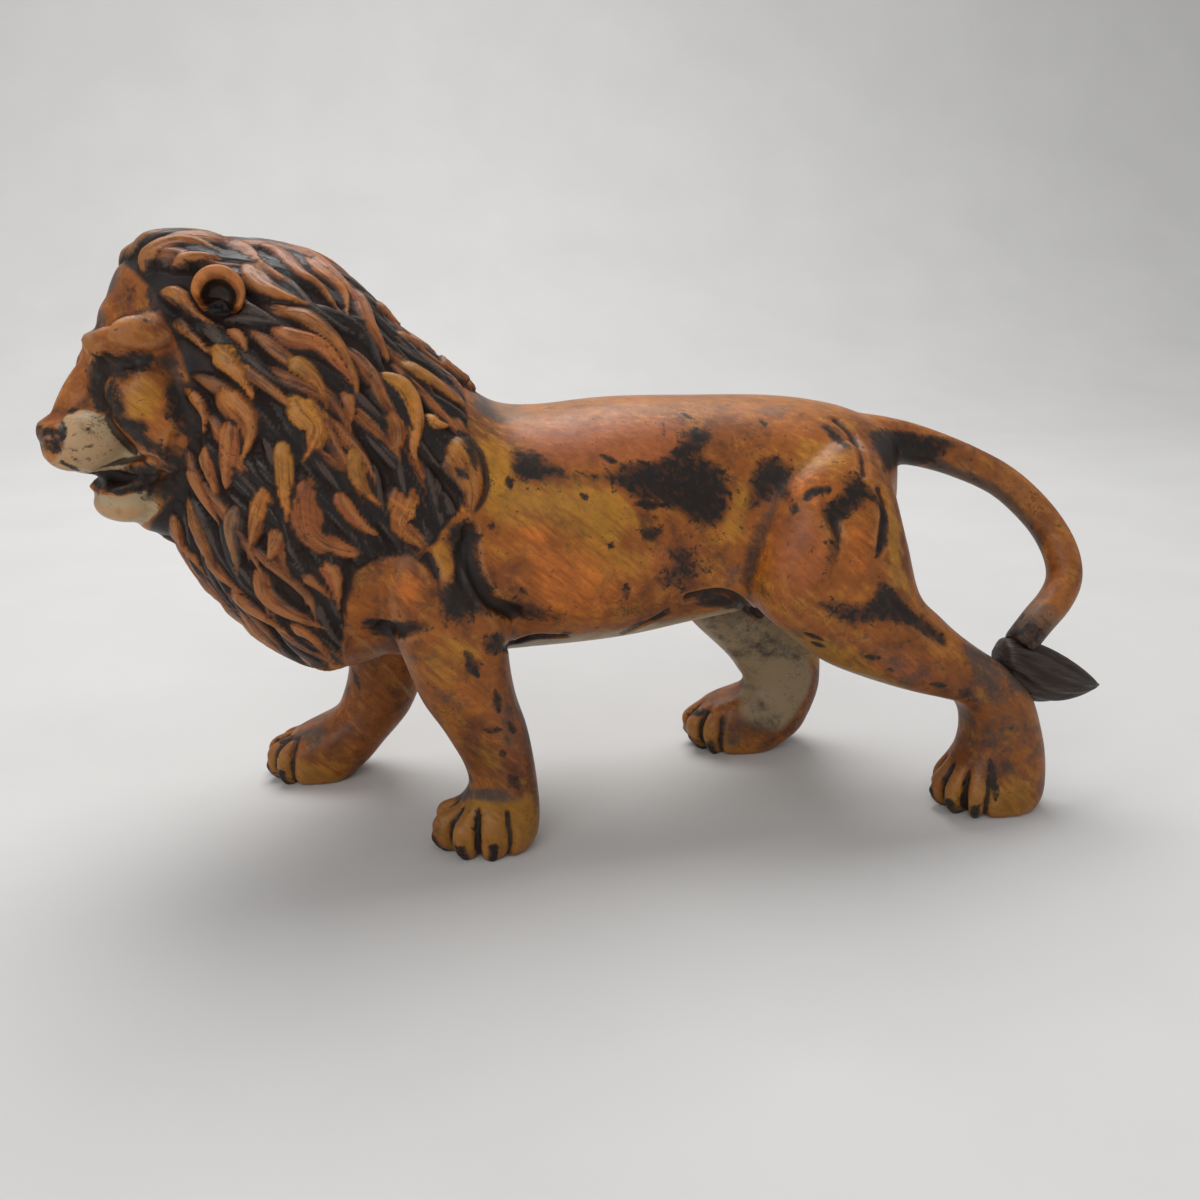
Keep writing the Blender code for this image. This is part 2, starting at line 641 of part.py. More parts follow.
def cut(thing, other, operation="DIFFERENCE"):
    """Takes another form away from this one, or joins it on."""
    change = thing.modifiers.new(operation.lower(), "BOOLEAN")
    change.operation = operation
    change.solver = "MANIFOLD"
    change.object = other
    return thing


def join_all(name, things, target):
    """One solid from many that run into each other."""
    group = bpy.data.collections.new(name + "_forms")
    bpy.context.scene.collection.children.link(group)
    group.hide_render = True
    for thing in things[1:]:
        group.objects.link(thing)
    first = things[0]
    change = first.modifiers.new("union", "BOOLEAN")
    change.operation = "UNION"
    change.solver = "MANIFOLD"
    change.operand_type = "COLLECTION"
    change.collection = group
    baked(first)
    first.name = name
    for thing in things[1:]:
        bpy.data.objects.remove(thing, do_unlink=True)
    bpy.data.collections.remove(group)
    if target is not None:
        target.objects.link(first)
    return first


def copy_of(thing, name, collection):
    """A second object with its own mesh."""
    made = bpy.data.objects.new(name, thing.data.copy())
    collection.objects.link(made)
    return made


def half_space(name, side, collection):
    """A tall block on one side of the seam, whose face bends at the neck to follow the turned head."""
    reach = 2 * (MANE_LENGTH + TORSO_LENGTH)
    inset = -side * GAP / 2
    forward = (NECK_PLACE - reach * math.cos(HEAD_TURN), inset - reach * math.sin(HEAD_TURN))
    outline = (
        (reach, inset),
        (NECK_PLACE, inset),
        forward,
        (forward[0], side * reach),
        (reach, side * reach),
    )
    curve = bpy.data.curves.new(name, "CURVE")
    curve.dimensions = "2D"
    curve.fill_mode = "BOTH"
    curve.extrude = reach
    spline = curve.splines.new("POLY")
    spline.points.add(len(outline) - 1)
    for point, (x, y) in zip(spline.points, outline):
        point.co = (x, y, 0.0, 1.0)
    spline.use_cyclic_u = True
    drawn = bpy.data.objects.new(name + "_outline", curve)
    collection.objects.link(drawn)
    bpy.context.view_layer.update()
    mesh = bpy.data.meshes.new_from_object(drawn.evaluated_get(bpy.context.evaluated_depsgraph_get()))
    bpy.data.objects.remove(drawn, do_unlink=True)
    made = bmesh.new()
    made.from_mesh(mesh)
    bmesh.ops.remove_doubles(made, verts=made.verts, dist=GAP / 3)
    bmesh.ops.recalc_face_normals(made, faces=made.faces)
    return mesh_object(name, made, collection)


def make_body_form(helpers):
    """The outside of the head, mane, torso, shoulders and haunches as one form."""
    forms = [loft("torso_form", torso_rings(), helpers), loft("mane_form", mane_rings(), helpers)]
    forms.append(turned(loft("head_form", head_rings(HEAD_SHARES, RINGS["head"]), helpers)))
    forms.append(turned(loft("jaw_form", head_rings(JAW_SHARES, RINGS["jaw"]), helpers)))
    for index, (forward, side, height, radius, stretch) in enumerate(FACE_FORM_SHARES):
        radii = [radius * share for share in stretch]
        for hand in (-1, 1):
            centre = head_place(forward, side, height, hand)
            forms.append(ball(f"face_{index}_{hand}", centre, radii, helpers, HEAD_TURN))
    nose_radii = [NOSE_RADIUS * share for share in NOSE_STRETCH_SHARES]
    forms.append(ball("nose_form", head_place(*NOSE_PLACE_SHARES), nose_radii, helpers, HEAD_TURN))
    for name, side, place, rows in LIMBS:
        top = BACK_HEIGHT * rows[-1][0]
        rings = limb_rings(side, place, rows, LEG_JOINT_HEIGHT + GAP / 2, top)
        forms.append(loft(name + "_root_form", rings, helpers))
    forms += make_locks(helpers)
    return join_all("body_form", forms, None)


def make_hollow(helpers):
    """The hollow that drains out of the body casting, open at each leg socket."""
    forms = [loft("torso_hollow", torso_rings(-WALL), helpers)]
    forms.append(loft("mane_hollow", mane_rings(-WALL), helpers))
    rows = [row for row in HEAD_SHARES if row[0] < 0.7]
    forms.append(turned(loft("head_hollow", head_rings(rows, RINGS["hollow"] // 2, -WALL), helpers)))
    for name, side, place, rows in LIMBS:
        top = BACK_HEIGHT * rows[-2][0] - WALL
        rings = limb_rings(side, place, rows, LEG_JOINT_HEIGHT - OVERRUN, top, -WALL)
        forms.append(loft(name + "_hollow", rings, helpers))
    return join_all("hollow_form", forms, None)


def make_legs(figure, helpers):
    """Each leg: a hollow casting with toes and a spigot that rises into the body's socket."""
    near_torso = loft("torso_clearance", torso_rings(GAP), helpers)
    near_mane = loft("mane_clearance", mane_rings(GAP), helpers)
    made = []
    for name, side, place, rows in LIMBS:
        outer = limb_rings(side, place, rows, 0.0, LEG_JOINT_HEIGHT - GAP / 2)
        leg = join_all(name, [loft(name, outer, helpers)] + toes(name, side, place, rows, helpers), None)
        baked(cut(cut(leg, near_torso), near_mane))
        low, high = LEG_JOINT_HEIGHT - SPIGOT_HEIGHT, LEG_JOINT_HEIGHT + SPIGOT_HEIGHT
        spigot = loft(name + "_spigot", limb_rings(side, place, rows, low, high, -WALL - GAP), helpers)
        bore_rings = limb_rings(side, place, rows, BORE_FLOOR, high + OVERRUN, -2 * WALL)
        bore = loft(name + "_bore", bore_rings, helpers)
        baked(cut(cut(leg, spigot, "UNION"), bore))
        helpers.objects.unlink(leg)
        figure.objects.link(leg)
        leg.display_type = "TEXTURED"
        made.append(leg)
    return made


def make_tail(figure, helpers):
    """The tail, which plugs into the rump, and the tuft that its end sits in."""
    tail = loft("tail", tail_rings(), figure)
    tuft = loft("tail_tuft", tuft_rings(), figure)
    near_tail = loft("tail_clearance", tail_rings(GAP), helpers)
    name, side, place, rows = LIMBS[2]
    near_leg = loft("leg_clearance", limb_rings(side, place, rows, 0.0, LEG_JOINT_HEIGHT, GAP), helpers)
    baked(cut(cut(tuft, near_tail), near_leg))
    return tail, tuft, near_tail


def make_ears(figure, helpers):
    """Cupped ears, whose backs sit in pockets in the head."""
    made, pockets = [], []
    radii = (EAR_RADIUS, EAR_DEPTH, EAR_RADIUS * EAR_TALL_SHARE)
    cup_radii = [size * share for size, share in zip((EAR_RADIUS, EAR_DEPTH, EAR_RADIUS), CUP_STRETCH_SHARES)]
    for name, hand in (("ear_left", -1), ("ear_right", 1)):
        centre = head_place(*EAR_PLACE_SHARES, hand)
        ear = ball(name, centre, radii, figure, HEAD_TURN)
        cup = ball(name + "_cup", head_place(*CUP_PLACE_SHARES, hand), cup_radii, helpers, HEAD_TURN)
        baked(cut(ear, cup))
        made.append(ear)
        wide = [radius + GAP for radius in radii]
        pockets.append(ball(name + "_pocket", centre, wide, helpers, HEAD_TURN))
    return made, pockets


def make_shells(figure, helpers, near_tail, pockets):
    """The two body shells, each the form less the hollow, the sockets and the far side."""
    form = make_body_form(helpers)
    hollow = make_hollow(helpers)
    for other in [hollow, near_tail] + pockets:
        cut(form, other)
    baked(form)
    made = []
    for name, side in (("body_left_shell", -1), ("body_right_shell", 1)):
        shell = copy_of(form, name, figure)
        block = half_space(name + "_far_side", -side, helpers)
        made.append(without_crumbs(baked(cut(shell, block))))
    return made


def main():
    clear_scene()
    helpers = new_collection("cutters", True)
    figure = new_collection("lion_figure", False)
    legs = make_legs(figure, helpers)
    tail, tuft, near_tail = make_tail(figure, helpers)
    ears, pockets = make_ears(figure, helpers)
    shells = make_shells(figure, helpers, near_tail, pockets)
    groups = (("body", shells), ("leg", legs), ("tail", [tail]), ("tuft", [tuft]), ("ear", ears))
    for key, things in groups:
        paint = finish("painted_" + key, COLOURS[key])
        for thing in things:
            thing.data.materials.clear()
            thing.data.materials.append(paint)
            thing.data.shade_smooth()
            thing.data.set_sharp_from_angle(angle=math.radians(40))
    for thing in list(helpers.objects):
        bpy.data.objects.remove(thing, do_unlink=True)


main()
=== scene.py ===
import json
import math

import bmesh
import bpy
import numpy as np
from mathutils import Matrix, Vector
from mathutils.bvhtree import BVHTree
from mathutils.kdtree import KDTree

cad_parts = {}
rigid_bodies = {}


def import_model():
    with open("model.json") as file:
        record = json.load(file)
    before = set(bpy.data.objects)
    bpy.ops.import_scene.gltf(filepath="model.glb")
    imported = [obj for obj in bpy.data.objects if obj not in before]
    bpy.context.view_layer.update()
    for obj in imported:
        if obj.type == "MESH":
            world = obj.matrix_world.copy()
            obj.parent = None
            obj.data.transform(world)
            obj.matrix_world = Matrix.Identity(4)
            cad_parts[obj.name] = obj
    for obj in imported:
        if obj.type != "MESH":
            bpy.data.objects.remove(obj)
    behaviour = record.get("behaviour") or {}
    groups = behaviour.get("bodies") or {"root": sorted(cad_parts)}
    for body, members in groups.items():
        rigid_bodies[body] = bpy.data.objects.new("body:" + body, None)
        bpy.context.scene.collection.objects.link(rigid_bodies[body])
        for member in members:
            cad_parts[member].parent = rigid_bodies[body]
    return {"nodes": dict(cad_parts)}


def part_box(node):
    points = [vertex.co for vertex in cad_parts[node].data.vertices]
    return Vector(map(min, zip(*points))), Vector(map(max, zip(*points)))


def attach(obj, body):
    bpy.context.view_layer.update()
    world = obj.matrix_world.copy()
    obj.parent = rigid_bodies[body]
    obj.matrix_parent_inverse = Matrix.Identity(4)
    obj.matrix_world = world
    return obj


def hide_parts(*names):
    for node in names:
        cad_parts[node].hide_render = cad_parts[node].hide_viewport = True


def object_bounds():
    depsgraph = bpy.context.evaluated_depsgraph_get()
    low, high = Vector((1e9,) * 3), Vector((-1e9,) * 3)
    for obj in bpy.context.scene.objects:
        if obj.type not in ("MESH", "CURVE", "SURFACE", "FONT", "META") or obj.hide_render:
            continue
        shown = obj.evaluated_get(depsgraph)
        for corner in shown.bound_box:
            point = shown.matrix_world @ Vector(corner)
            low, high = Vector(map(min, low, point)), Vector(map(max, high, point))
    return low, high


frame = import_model()
cadBox = [list(corner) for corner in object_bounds()]

millimetre = 0.001
upright = np.array([0.0, 0.0, 1.0])
rng = np.random.default_rng(7)

camera = {"place": (-48.06, -271.80, 134.4), "down": 17.0, "round": 9.5, "lens": 36.0, "sensor": 36.0,
          "nearest": 10.0, "picture": 1200}

# driving sizes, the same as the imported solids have
lion = {
    "maneHeight": 136.2, "backHeight": 98.5, "legJoint": 47.0,
    "torsoFront": -74.0, "torsoLength": 142.5, "maneFront": -103.0, "maneLength": 82.0,
    "neckPlace": -80.0, "headTurn": 26.0,
    "torsoHalf": 26.5, "maneHalf": 32.0, "stanceHalf": 32.5,
    "trunkFullness": 2.2, "limbFullness": 2.5, "headRear": -86.0, "faceRear": -84.0, "hairRear": -34.0,
}

clay = {"voxel": 0.62, "roughVoxel": 0.8, "firstSmooth": 0.85, "creaseSmooth": 2.6, "bandSmooth": 5.0,
        "hollowReach": 1.1, "hollowSpread": 1.3, "maneSpread": 2.0, "softSpread": 2.5, "normalSpread": 0.9,
        "fineReach": 0.8, "wideReach": 2.1, "legTop": 84.0,
        "maneInset": 1.1, "maneDrop": 1.9, "squeeze": 1.6, "noseSqueeze": 0.5, "boxGap": 0.1}

# where things fade in, or in and out again, in millimetres along (x), out (y) and up (z)
spans = {
    "hollow": (0.04, 0.16), "hollowZ": (5.0, 13.0), "maneEdgeX": (-56, -40, -16, -6), "maneEdgeZ": (54, 66),
    "rumpX": (50, 62, 92, 100), "rumpY": (7, 13), "rumpZ": (64, 74), "behindForelegX": (-62, -54),
    "aboveLegZ": (58, 64), "chestZ": (36, 40), "crownZ": (120, 128), "innerLegZ": (18, 30, 52, 60),
    "bellyZ": (30, 38), "tailX": (72, 80), "tailZ": (34, 40), "tailSmoke": (7.0, 19.0),
    "tailDark": (3.0, 13.0), "flankX": (40, 62), "flankZ": (46, 60), "legZ": (24, 62),
}
# the same for how far the clay faces up, down or inwards, from -1 to 1; for the camera, times the distance
slopes = {"crown": (0.55, 0.95), "seam": (-0.1, 0.3), "inward": (0.1, 0.7), "belly": (0.55, 0.9),
          "tailUnder": (-0.15, 0.65), "wearAndSheen": (0.75, 0.98), "camera": (-25.0, 37.5)}

# along the form, then top, widest height, underside and half width, as shares of the driving sizes
torsoShares = (
    (0.0, 0.9, 0.67, 0.53, 0.55), (0.105, 0.96, 0.69, 0.43, 0.85), (0.23, 1.0, 0.71, 0.41, 0.98),
    (0.37, 0.985, 0.7, 0.42, 1.0), (0.525, 1.0, 0.69, 0.435, 0.98), (0.65, 1.0, 0.69, 0.465, 0.95),
    (0.79, 0.995, 0.69, 0.5, 0.93), (0.885, 0.975, 0.7, 0.53, 0.91), (0.94, 0.95, 0.72, 0.56, 0.78),
    (0.98, 0.925, 0.75, 0.63, 0.48), (1.0, 0.9, 0.79, 0.71, 0.16),
)
maneShares = (
    (0.0, 0.955, 0.9, 0.86, 0.14), (0.05, 0.98, 0.85, 0.56, 0.42), (0.1, 0.995, 0.79, 0.465, 0.64),
    (0.18, 0.998, 0.73, 0.4, 0.83), (0.27, 1.0, 0.69, 0.34, 0.94), (0.38, 0.993, 0.65, 0.293, 1.0),
    (0.48, 0.972, 0.62, 0.275, 1.0), (0.58, 0.925, 0.59, 0.29, 0.97), (0.68, 0.86, 0.565, 0.32, 0.93),
    (0.78, 0.81, 0.55, 0.35, 0.87), (0.88, 0.76, 0.55, 0.385, 0.83), (0.96, 0.718, 0.56, 0.42, 0.78),
    (1.0, 0.7, 0.56, 0.45, 0.7),
)

# height, then front and rear edge from the paw's place, then inner and outer side
limbs = {
    "forelegLeft": {
        "side": -1, "place": -31.5, "toesFrom": -30, "toesTo": 100, "node": "foreleg_left",
        "shares": (
            (0.0, -0.088, 0.085, 0.44, 0.96), (0.03, -0.105, 0.105, 0.42, 0.99),
            (0.06, -0.105, 0.11, 0.42, 0.99), (0.09, -0.095, 0.112, 0.43, 0.97),
            (0.143, -0.052, 0.108, 0.45, 0.95), (0.21, -0.06, 0.1, 0.46, 0.94),
            (0.293, -0.1, 0.085, 0.45, 0.95), (0.375, -0.15, 0.06, 0.4, 0.98),
            (0.475, -0.185, 0.045, 0.34, 1.02), (0.556, -0.21, 0.05, 0.32, 1.03),
            (0.64, -0.23, 0.045, 0.32, 1.02), (0.73, -0.22, 0.025, 0.4, 0.96),
            (0.81, -0.14, -0.02, 0.6, 0.86),
        ),
    },
    "forelegRight": {
        "side": 1, "place": -72.0, "toesFrom": -45, "toesTo": 45, "node": "foreleg_right",
        "shares": (
            (0.0, -0.095, 0.08, 0.44, 0.96), (0.02, -0.125, 0.1, 0.42, 0.99),
            (0.045, -0.137, 0.13, 0.42, 0.99), (0.095, -0.108, 0.172, 0.42, 0.98),
            (0.137, -0.03, 0.21, 0.44, 0.96), (0.175, 0.045, 0.238, 0.46, 0.94),
            (0.235, 0.075, 0.265, 0.45, 0.94), (0.315, 0.085, 0.295, 0.42, 0.96),
            (0.39, 0.072, 0.315, 0.38, 0.98), (0.475, 0.052, 0.34, 0.34, 1.0),
            (0.585, 0.035, 0.355, 0.33, 1.01), (0.69, 0.04, 0.345, 0.4, 0.96),
            (0.785, 0.12, 0.285, 0.6, 0.86),
        ),
    },
    "hindlegLeft": {
        "side": -1, "place": 90.5, "toesFrom": -40, "toesTo": 60, "node": "hindleg_left",
        "shares": (
            (0.0, -0.085, 0.105, 0.44, 0.96), (0.02, -0.105, 0.12, 0.42, 0.99),
            (0.045, -0.125, 0.13, 0.42, 0.99), (0.1, -0.122, 0.13, 0.42, 0.98),
            (0.163, -0.09, 0.122, 0.45, 0.94), (0.24, -0.09, 0.098, 0.46, 0.93),
            (0.293, -0.13, 0.075, 0.44, 0.94), (0.333, -0.265, 0.04, 0.4, 0.96),
            (0.37, -0.37, 0.0, 0.36, 0.98), (0.41, -0.46, -0.06, 0.32, 1.0),
            (0.453, -0.515, -0.118, 0.29, 1.01), (0.5, -0.57, -0.17, 0.27, 1.02),
            (0.555, -0.625, -0.225, 0.26, 1.03), (0.64, -0.645, -0.255, 0.26, 1.01),
            (0.76, -0.61, -0.28, 0.28, 0.93), (0.835, -0.56, -0.31, 0.3, 0.82),
            (0.905, -0.45, -0.35, 0.35, 0.62),
        ),
    },
    "hindlegRight": {
        "side": 1, "place": 41.2, "toesFrom": -45, "toesTo": 45, "node": "hindleg_right",
        "shares": (
            (0.0, -0.105, 0.08, 0.44, 0.96), (0.015, -0.13, 0.105, 0.42, 0.99),
            (0.045, -0.165, 0.155, 0.42, 0.99), (0.09, -0.16, 0.18, 0.42, 0.98),
            (0.137, -0.108, 0.198, 0.44, 0.95), (0.175, -0.005, 0.205, 0.46, 0.92),
            (0.225, -0.025, 0.205, 0.45, 0.92), (0.277, -0.064, 0.2, 0.42, 0.93),
            (0.36, -0.148, 0.195, 0.35, 0.96), (0.41, -0.19, 0.21, 0.32, 0.98),
            (0.475, -0.222, 0.235, 0.28, 1.0), (0.547, -0.245, 0.245, 0.26, 1.02),
            (0.65, -0.237, 0.245, 0.26, 1.0), (0.79, -0.125, 0.215, 0.3, 0.93),
            (0.905, 0.0, 0.12, 0.35, 0.62),
        ),
    },
}

tail = {"rootShare": 0.98, "rootDepth": 12.1, "reach": 45.0, "radius": 4.2, "steps": 110}
# along, side and height as shares of the tail's reach, then a share of its radius
tailShares = (
    (-0.2, 0.0, 0.02, 1.6), (0.0, 0.0, 0.0, 1.5), (0.14, 0.0, -0.01, 1.25), (0.31, -0.01, -0.055, 1.12),
    (0.485, -0.03, -0.12, 1.05), (0.66, -0.06, -0.205, 1.0), (0.795, -0.1, -0.31, 1.0),
    (0.92, -0.15, -0.45, 1.0), (0.985, -0.22, -0.59, 1.02), (0.99, -0.28, -0.72, 1.02),
    (0.915, -0.34, -0.825, 1.0), (0.79, -0.4, -0.92, 0.98), (0.67, -0.44, -1.04, 0.95),
)
tuft = {"length": 27.5, "halfHeight": 7.4, "halfWidth": 6.2, "startShare": 0.18, "rings": 90, "around": 96,
        "grooves": 9, "depth": 0.35, "twist": 2.2, "wander": 0.6}
# along, drop, height and width as shares of the tuft's own
tuftShares = (
    (0.0, -0.1, 0.4, 0.55), (0.08, -0.13, 0.8, 0.9), (0.28, -0.22, 1.0, 1.0), (0.5, -0.29, 0.93, 0.92),
    (0.75, -0.35, 0.6, 0.7), (0.92, -0.39, 0.28, 0.4), (1.0, -0.41, 0.06, 0.12),
)

# head forms: picture place of the centre, side, then forward, side and upright radius and a tilt in degrees
headForms = {
    "skull": (192, 332, 0.0, 17.0, 17.5, 21.0, 0),
    "forehead": (138, 318, 0.0, 6.5, 9.5, 13.0, -20),
    "foreheadLow": (118, 319, 0.0, 3.8, 6.2, 5.5, -20),
    "browRoot": (107, 350, 0.0, 4.8, 5.0, 5.2, 0),
    "bridge": (84, 398, 0.0, 13.0, 4.6, 4.6, 57),
    "noseTip": (51, 432, 0.0, 3.0, 5.0, 3.0, 0),
    "muzzleCore": (110, 440, 0.0, 11.0, 8.5, 6.5, 12),
    "muzzlePad": (89, 439, -5.2, 9.2, 6.2, 5.9, 18),
    "brow": (120, 346, -9.0, 7.2, 4.6, 3.9, -8),
    "browBack": (150, 336, -13.4, 8.0, 3.8, 4.2, -8),
    "eyeBall": (122, 360, -10.8, 3.4, 3.2, 2.8, 0),
    "socket": (111, 388, -5.2, 4.2, 3.6, 8.0, 5),
    "cheek": (146, 398, -11.5, 7.8, 6.8, 9.0, 0),
    "cheekBack": (166, 420, -13.0, 7.0, 6.0, 11.0, 0),
    "mouthFill": (140, 466, 0.0, 8.0, 9.0, 6.0, 0),
    "lipFold": (148, 466, -9.0, 4.5, 3.0, 3.4, 20),
    "chin": (131, 501, 0.0, 7.4, 7.6, 4.3, 0),
    "lowerLip": (128, 487, -4.0, 6.2, 4.4, 1.7, 6),
    "throat": (178, 498, 0.0, 10.0, 10.5, 9.0, 0),
}

farBrow = (0.62, 2.4)  # how flat the far brow and eye are, and how far in they lie

relief = {"swellGain": 1.35, "bodyLineGain": 1.5}
seam = {"height": 0.32, "half": 0.45, "span": (-92, -84, -34, -24)}
# muscles: picture place, radius and height in millimetres
bodySwells = (
    (413, 592, 9.0, 1.4), (478, 635, 5.0, 0.8), (560, 545, 20.0, 0.9), (640, 520, 14.0, 0.4),
    (716, 556, 13.0, -1.5), (835, 470, 12.0, 0.8), (815, 555, 12.0, 0.8), (862, 560, 6.0, 0.6),
    (845, 508, 5.0, -0.7), (790, 610, 10.0, 0.6), (590, 600, 14.0, 0.5), (900, 600, 5.0, -0.6),
    (460, 560, 7.0, -1.6), (497, 600, 5.0, -1.0), (470, 690, 7.0, 0.5), (470, 745, 5.0, 0.4),
    (345, 700, 6.0, 0.4),
)

# locks of the mane on the side that shows: paint, half width, then picture places from root to tip
maneLocks = (
    ("ember", 2.6, (144, 274), (150, 258), (171, 244), (198, 244), (224, 260)),
    ("rust", 1.9, (171, 271), (187, 263), (205, 261), (226, 264)),
    ("smoke", 2.2, (123, 260), (139, 242), (171, 229), (204, 229), (241, 233), (281, 240)),
    ("ember", 2.6, (150, 252), (174, 239), (206, 238), (241, 248), (257, 266), (289, 287), (319, 314)),
    ("ember", 2.9, (246, 260), (257, 282), (279, 295), (322, 312)),
    ("rust", 2.2, (241, 242), (276, 250), (300, 274), (319, 287), (343, 319)),
    ("rust", 3.0, (268, 236), (303, 247), (335, 279), (356, 309), (383, 356)),
    ("ember", 2.2, (292, 252), (316, 271), (340, 295), (345, 321)),
    ("ember", 2.4, (268, 311), (297, 314), (321, 330), (340, 351), (356, 384), (354, 403)),
    ("rust", 2.5, (268, 322), (284, 338), (316, 346), (338, 367), (354, 392)),
    ("ochre", 2.4, (279, 359), (300, 367), (319, 386), (327, 417)),
    ("ochre", 4.0, (289, 389), (303, 408), (319, 426), (313, 448), (302, 462)),
    ("rust", 1.7, (340, 389), (348, 408), (348, 430)),
    ("ochre", 3.3, (214, 341), (228, 354), (244, 375), (256, 401)),
    ("ember", 3.1, (214, 378), (228, 400), (246, 421), (249, 437), (241, 462)),
    ("rust", 2.7, (228, 416), (233, 434), (230, 475), (227, 489)),
    ("rust", 1.9, (206, 442), (212, 469), (220, 497)),
    ("rust", 2.2, (187, 448), (196, 475), (212, 504), (223, 527)),
    ("rust", 1.5, (182, 389), (198, 400), (206, 416), (204, 435)),
    ("ember", 2.1, (158, 292), (177, 298), (193, 314), (218, 328)),
    ("ember", 1.9, (171, 325), (187, 330), (210, 355)),
    ("rust", 1.4, (225, 330), (241, 341), (250, 360)),
    ("ochre", 2.3, (284, 429), (284, 461), (287, 501), (289, 524)),
    ("rust", 4.2, (316, 469), (305, 501), (313, 533), (348, 550), (374, 547)),
    ("rust", 2.2, (335, 485), (343, 507), (362, 526), (381, 537)),
    ("ochre", 2.7, (359, 437), (354, 464), (364, 488), (384, 508)),
    ("ember", 2.8, (270, 480), (265, 501), (257, 528), (249, 561)),
    ("rust", 2.6, (284, 523), (279, 542), (267, 567)),
    ("ember", 2.6, (187, 493), (204, 528), (214, 555), (228, 577)),
    ("rust", 2.2, (171, 512), (182, 536), (198, 555), (215, 580)),
    ("smoke", 2.4, (238, 501), (236, 533), (242, 577)),
    ("rust", 2.9, (341, 283), (355, 301), (364, 324), (378, 347), (388, 364)),
    ("rust", 2.0, (373, 303), (396, 315), (407, 332)),
    ("ember", 2.1, (389, 329), (403, 342), (429, 354), (444, 362)),
    ("rust", 2.2, (428, 358), (447, 361), (465, 370), (480, 391)),
    ("ochre", 2.6, (392, 358), (410, 370), (433, 384), (451, 400), (463, 408)),
    ("ochre", 3.2, (376, 374), (392, 384), (406, 402), (412, 425), (410, 452), (420, 474)),
    ("ember", 2.8, (380, 407), (392, 430), (392, 452), (404, 474)),
    ("ochre", 1.7, (424, 413), (435, 425), (450, 427)),
    ("ochre", 4.6, (438, 443), (456, 457), (470, 487), (470, 513)),
    ("ember", 4.2, (410, 475), (401, 505), (397, 526), (425, 550)),
    ("rust", 2.6, (255, 565), (269, 594), (296, 613), (330, 627)),
    ("rust", 2.4, (230, 581), (246, 601), (276, 620), (298, 637)),
    ("rust", 1.8, (299, 569), (319, 581), (336, 600)),
    ("rust", 2.2, (287, 622), (310, 629), (338, 662)),
    ("ember", 2.4, (207, 545), (222, 570), (248, 594)),
    ("rust", 2.6, (318, 556), (332, 578), (338, 610)),
)
lockCut = {"rise": 2.0, "widen": 1.15, "fillRise": 1.2, "fillLength": 33.0, "fillHalf": 2.4,
           "fillSpacing": 5.4, "fillSteps": 12, "fillTries": 24000, "paintedGrow": 1.35,
           "flowFrom": (92, 385), "pull": 45.0,
           "strandWidth": 1.7, "strandDepth": 0.16, "tipShare": 0.45, "steps": 26}
# paints that the locks between the traced ones draw from, close to a traced lock and away from it
fillPaints = {
    "close": ("dim", "bare", "bare"),
    "open": ("ember", "rust", "ochre", "rust", "ember", "dim", "dim", "bare"),
}

# carved lines on face and body: depth, half width, then picture places
carvedLines = {
    "mouth": (1.5, 0.9, (98, 474), (112, 476), (130, 479), (150, 480)),
    "lipTop": (0.6, 0.6, (104, 468), (124, 462), (143, 458), (158, 462), (163, 473)),
    "lidLine": (0.7, 0.6, (104, 355), (116, 361), (130, 364)),
    "underEye": (0.7, 2.0, (102, 366), (112, 372), (122, 372)),
    "noseFold": (0.5, 1.2, (100, 378), (98, 396), (108, 410)),
    "muzzleEdge": (0.7, 0.8, (108, 418), (118, 434), (134, 450)),
    "nostril": (0.9, 0.7, (48, 430), (50, 436)),
    "nostrilBack": (0.5, 0.6, (63, 422), (64, 436)),
    "lipSplit": (0.4, 0.5, (50, 444), (60, 452)),
    "chinTop": (0.5, 0.6, (102, 492), (118, 493), (142, 489)),
    "cheekFold": (0.6, 1.0, (176, 436), (172, 452), (168, 468)),
    "browFold": (0.4, 1.8, (128, 326), (142, 330), (158, 322)),
    "browMiddle": (0.3, 1.2, (96, 318), (92, 338)),
    "elbowLine": (1.0, 1.3, (470, 530), (474, 565), (488, 596), (514, 613)),
    "elbowRidge": (0.7, 0.9, (462, 545), (462, 580), (474, 604)),
    "shoulderEdge": (0.8, 1.0, (428, 558), (438, 585), (440, 615), (446, 627)),
    "shoulderUnder": (0.7, 1.2, (384, 624), (402, 629), (420, 628)),
    "thighFront": (0.6, 1.0, (833, 522), (838, 545), (831, 577)),
    "thighRear": (0.6, 0.9, (878, 490), (884, 510), (879, 548)),
    "hamString": (0.6, 1.6, (876, 572), (897, 600), (944, 640)),
    "groin": (0.8, 1.0, (690, 600), (725, 596), (745, 606), (760, 616)),
    "chestSeam": (-0.3, 0.35, (336, 622), (368, 645), (386, 666), (413, 698)),
    "bellyEdge": (0.5, 0.7, (503, 648), (531, 635), (564, 634)),
    "bellyRear": (0.4, 0.5, (622, 634), (650, 620), (668, 611)),
    "rumpLine": (0.5, 0.9, (836, 421), (850, 434), (860, 455), (862, 475)),
}

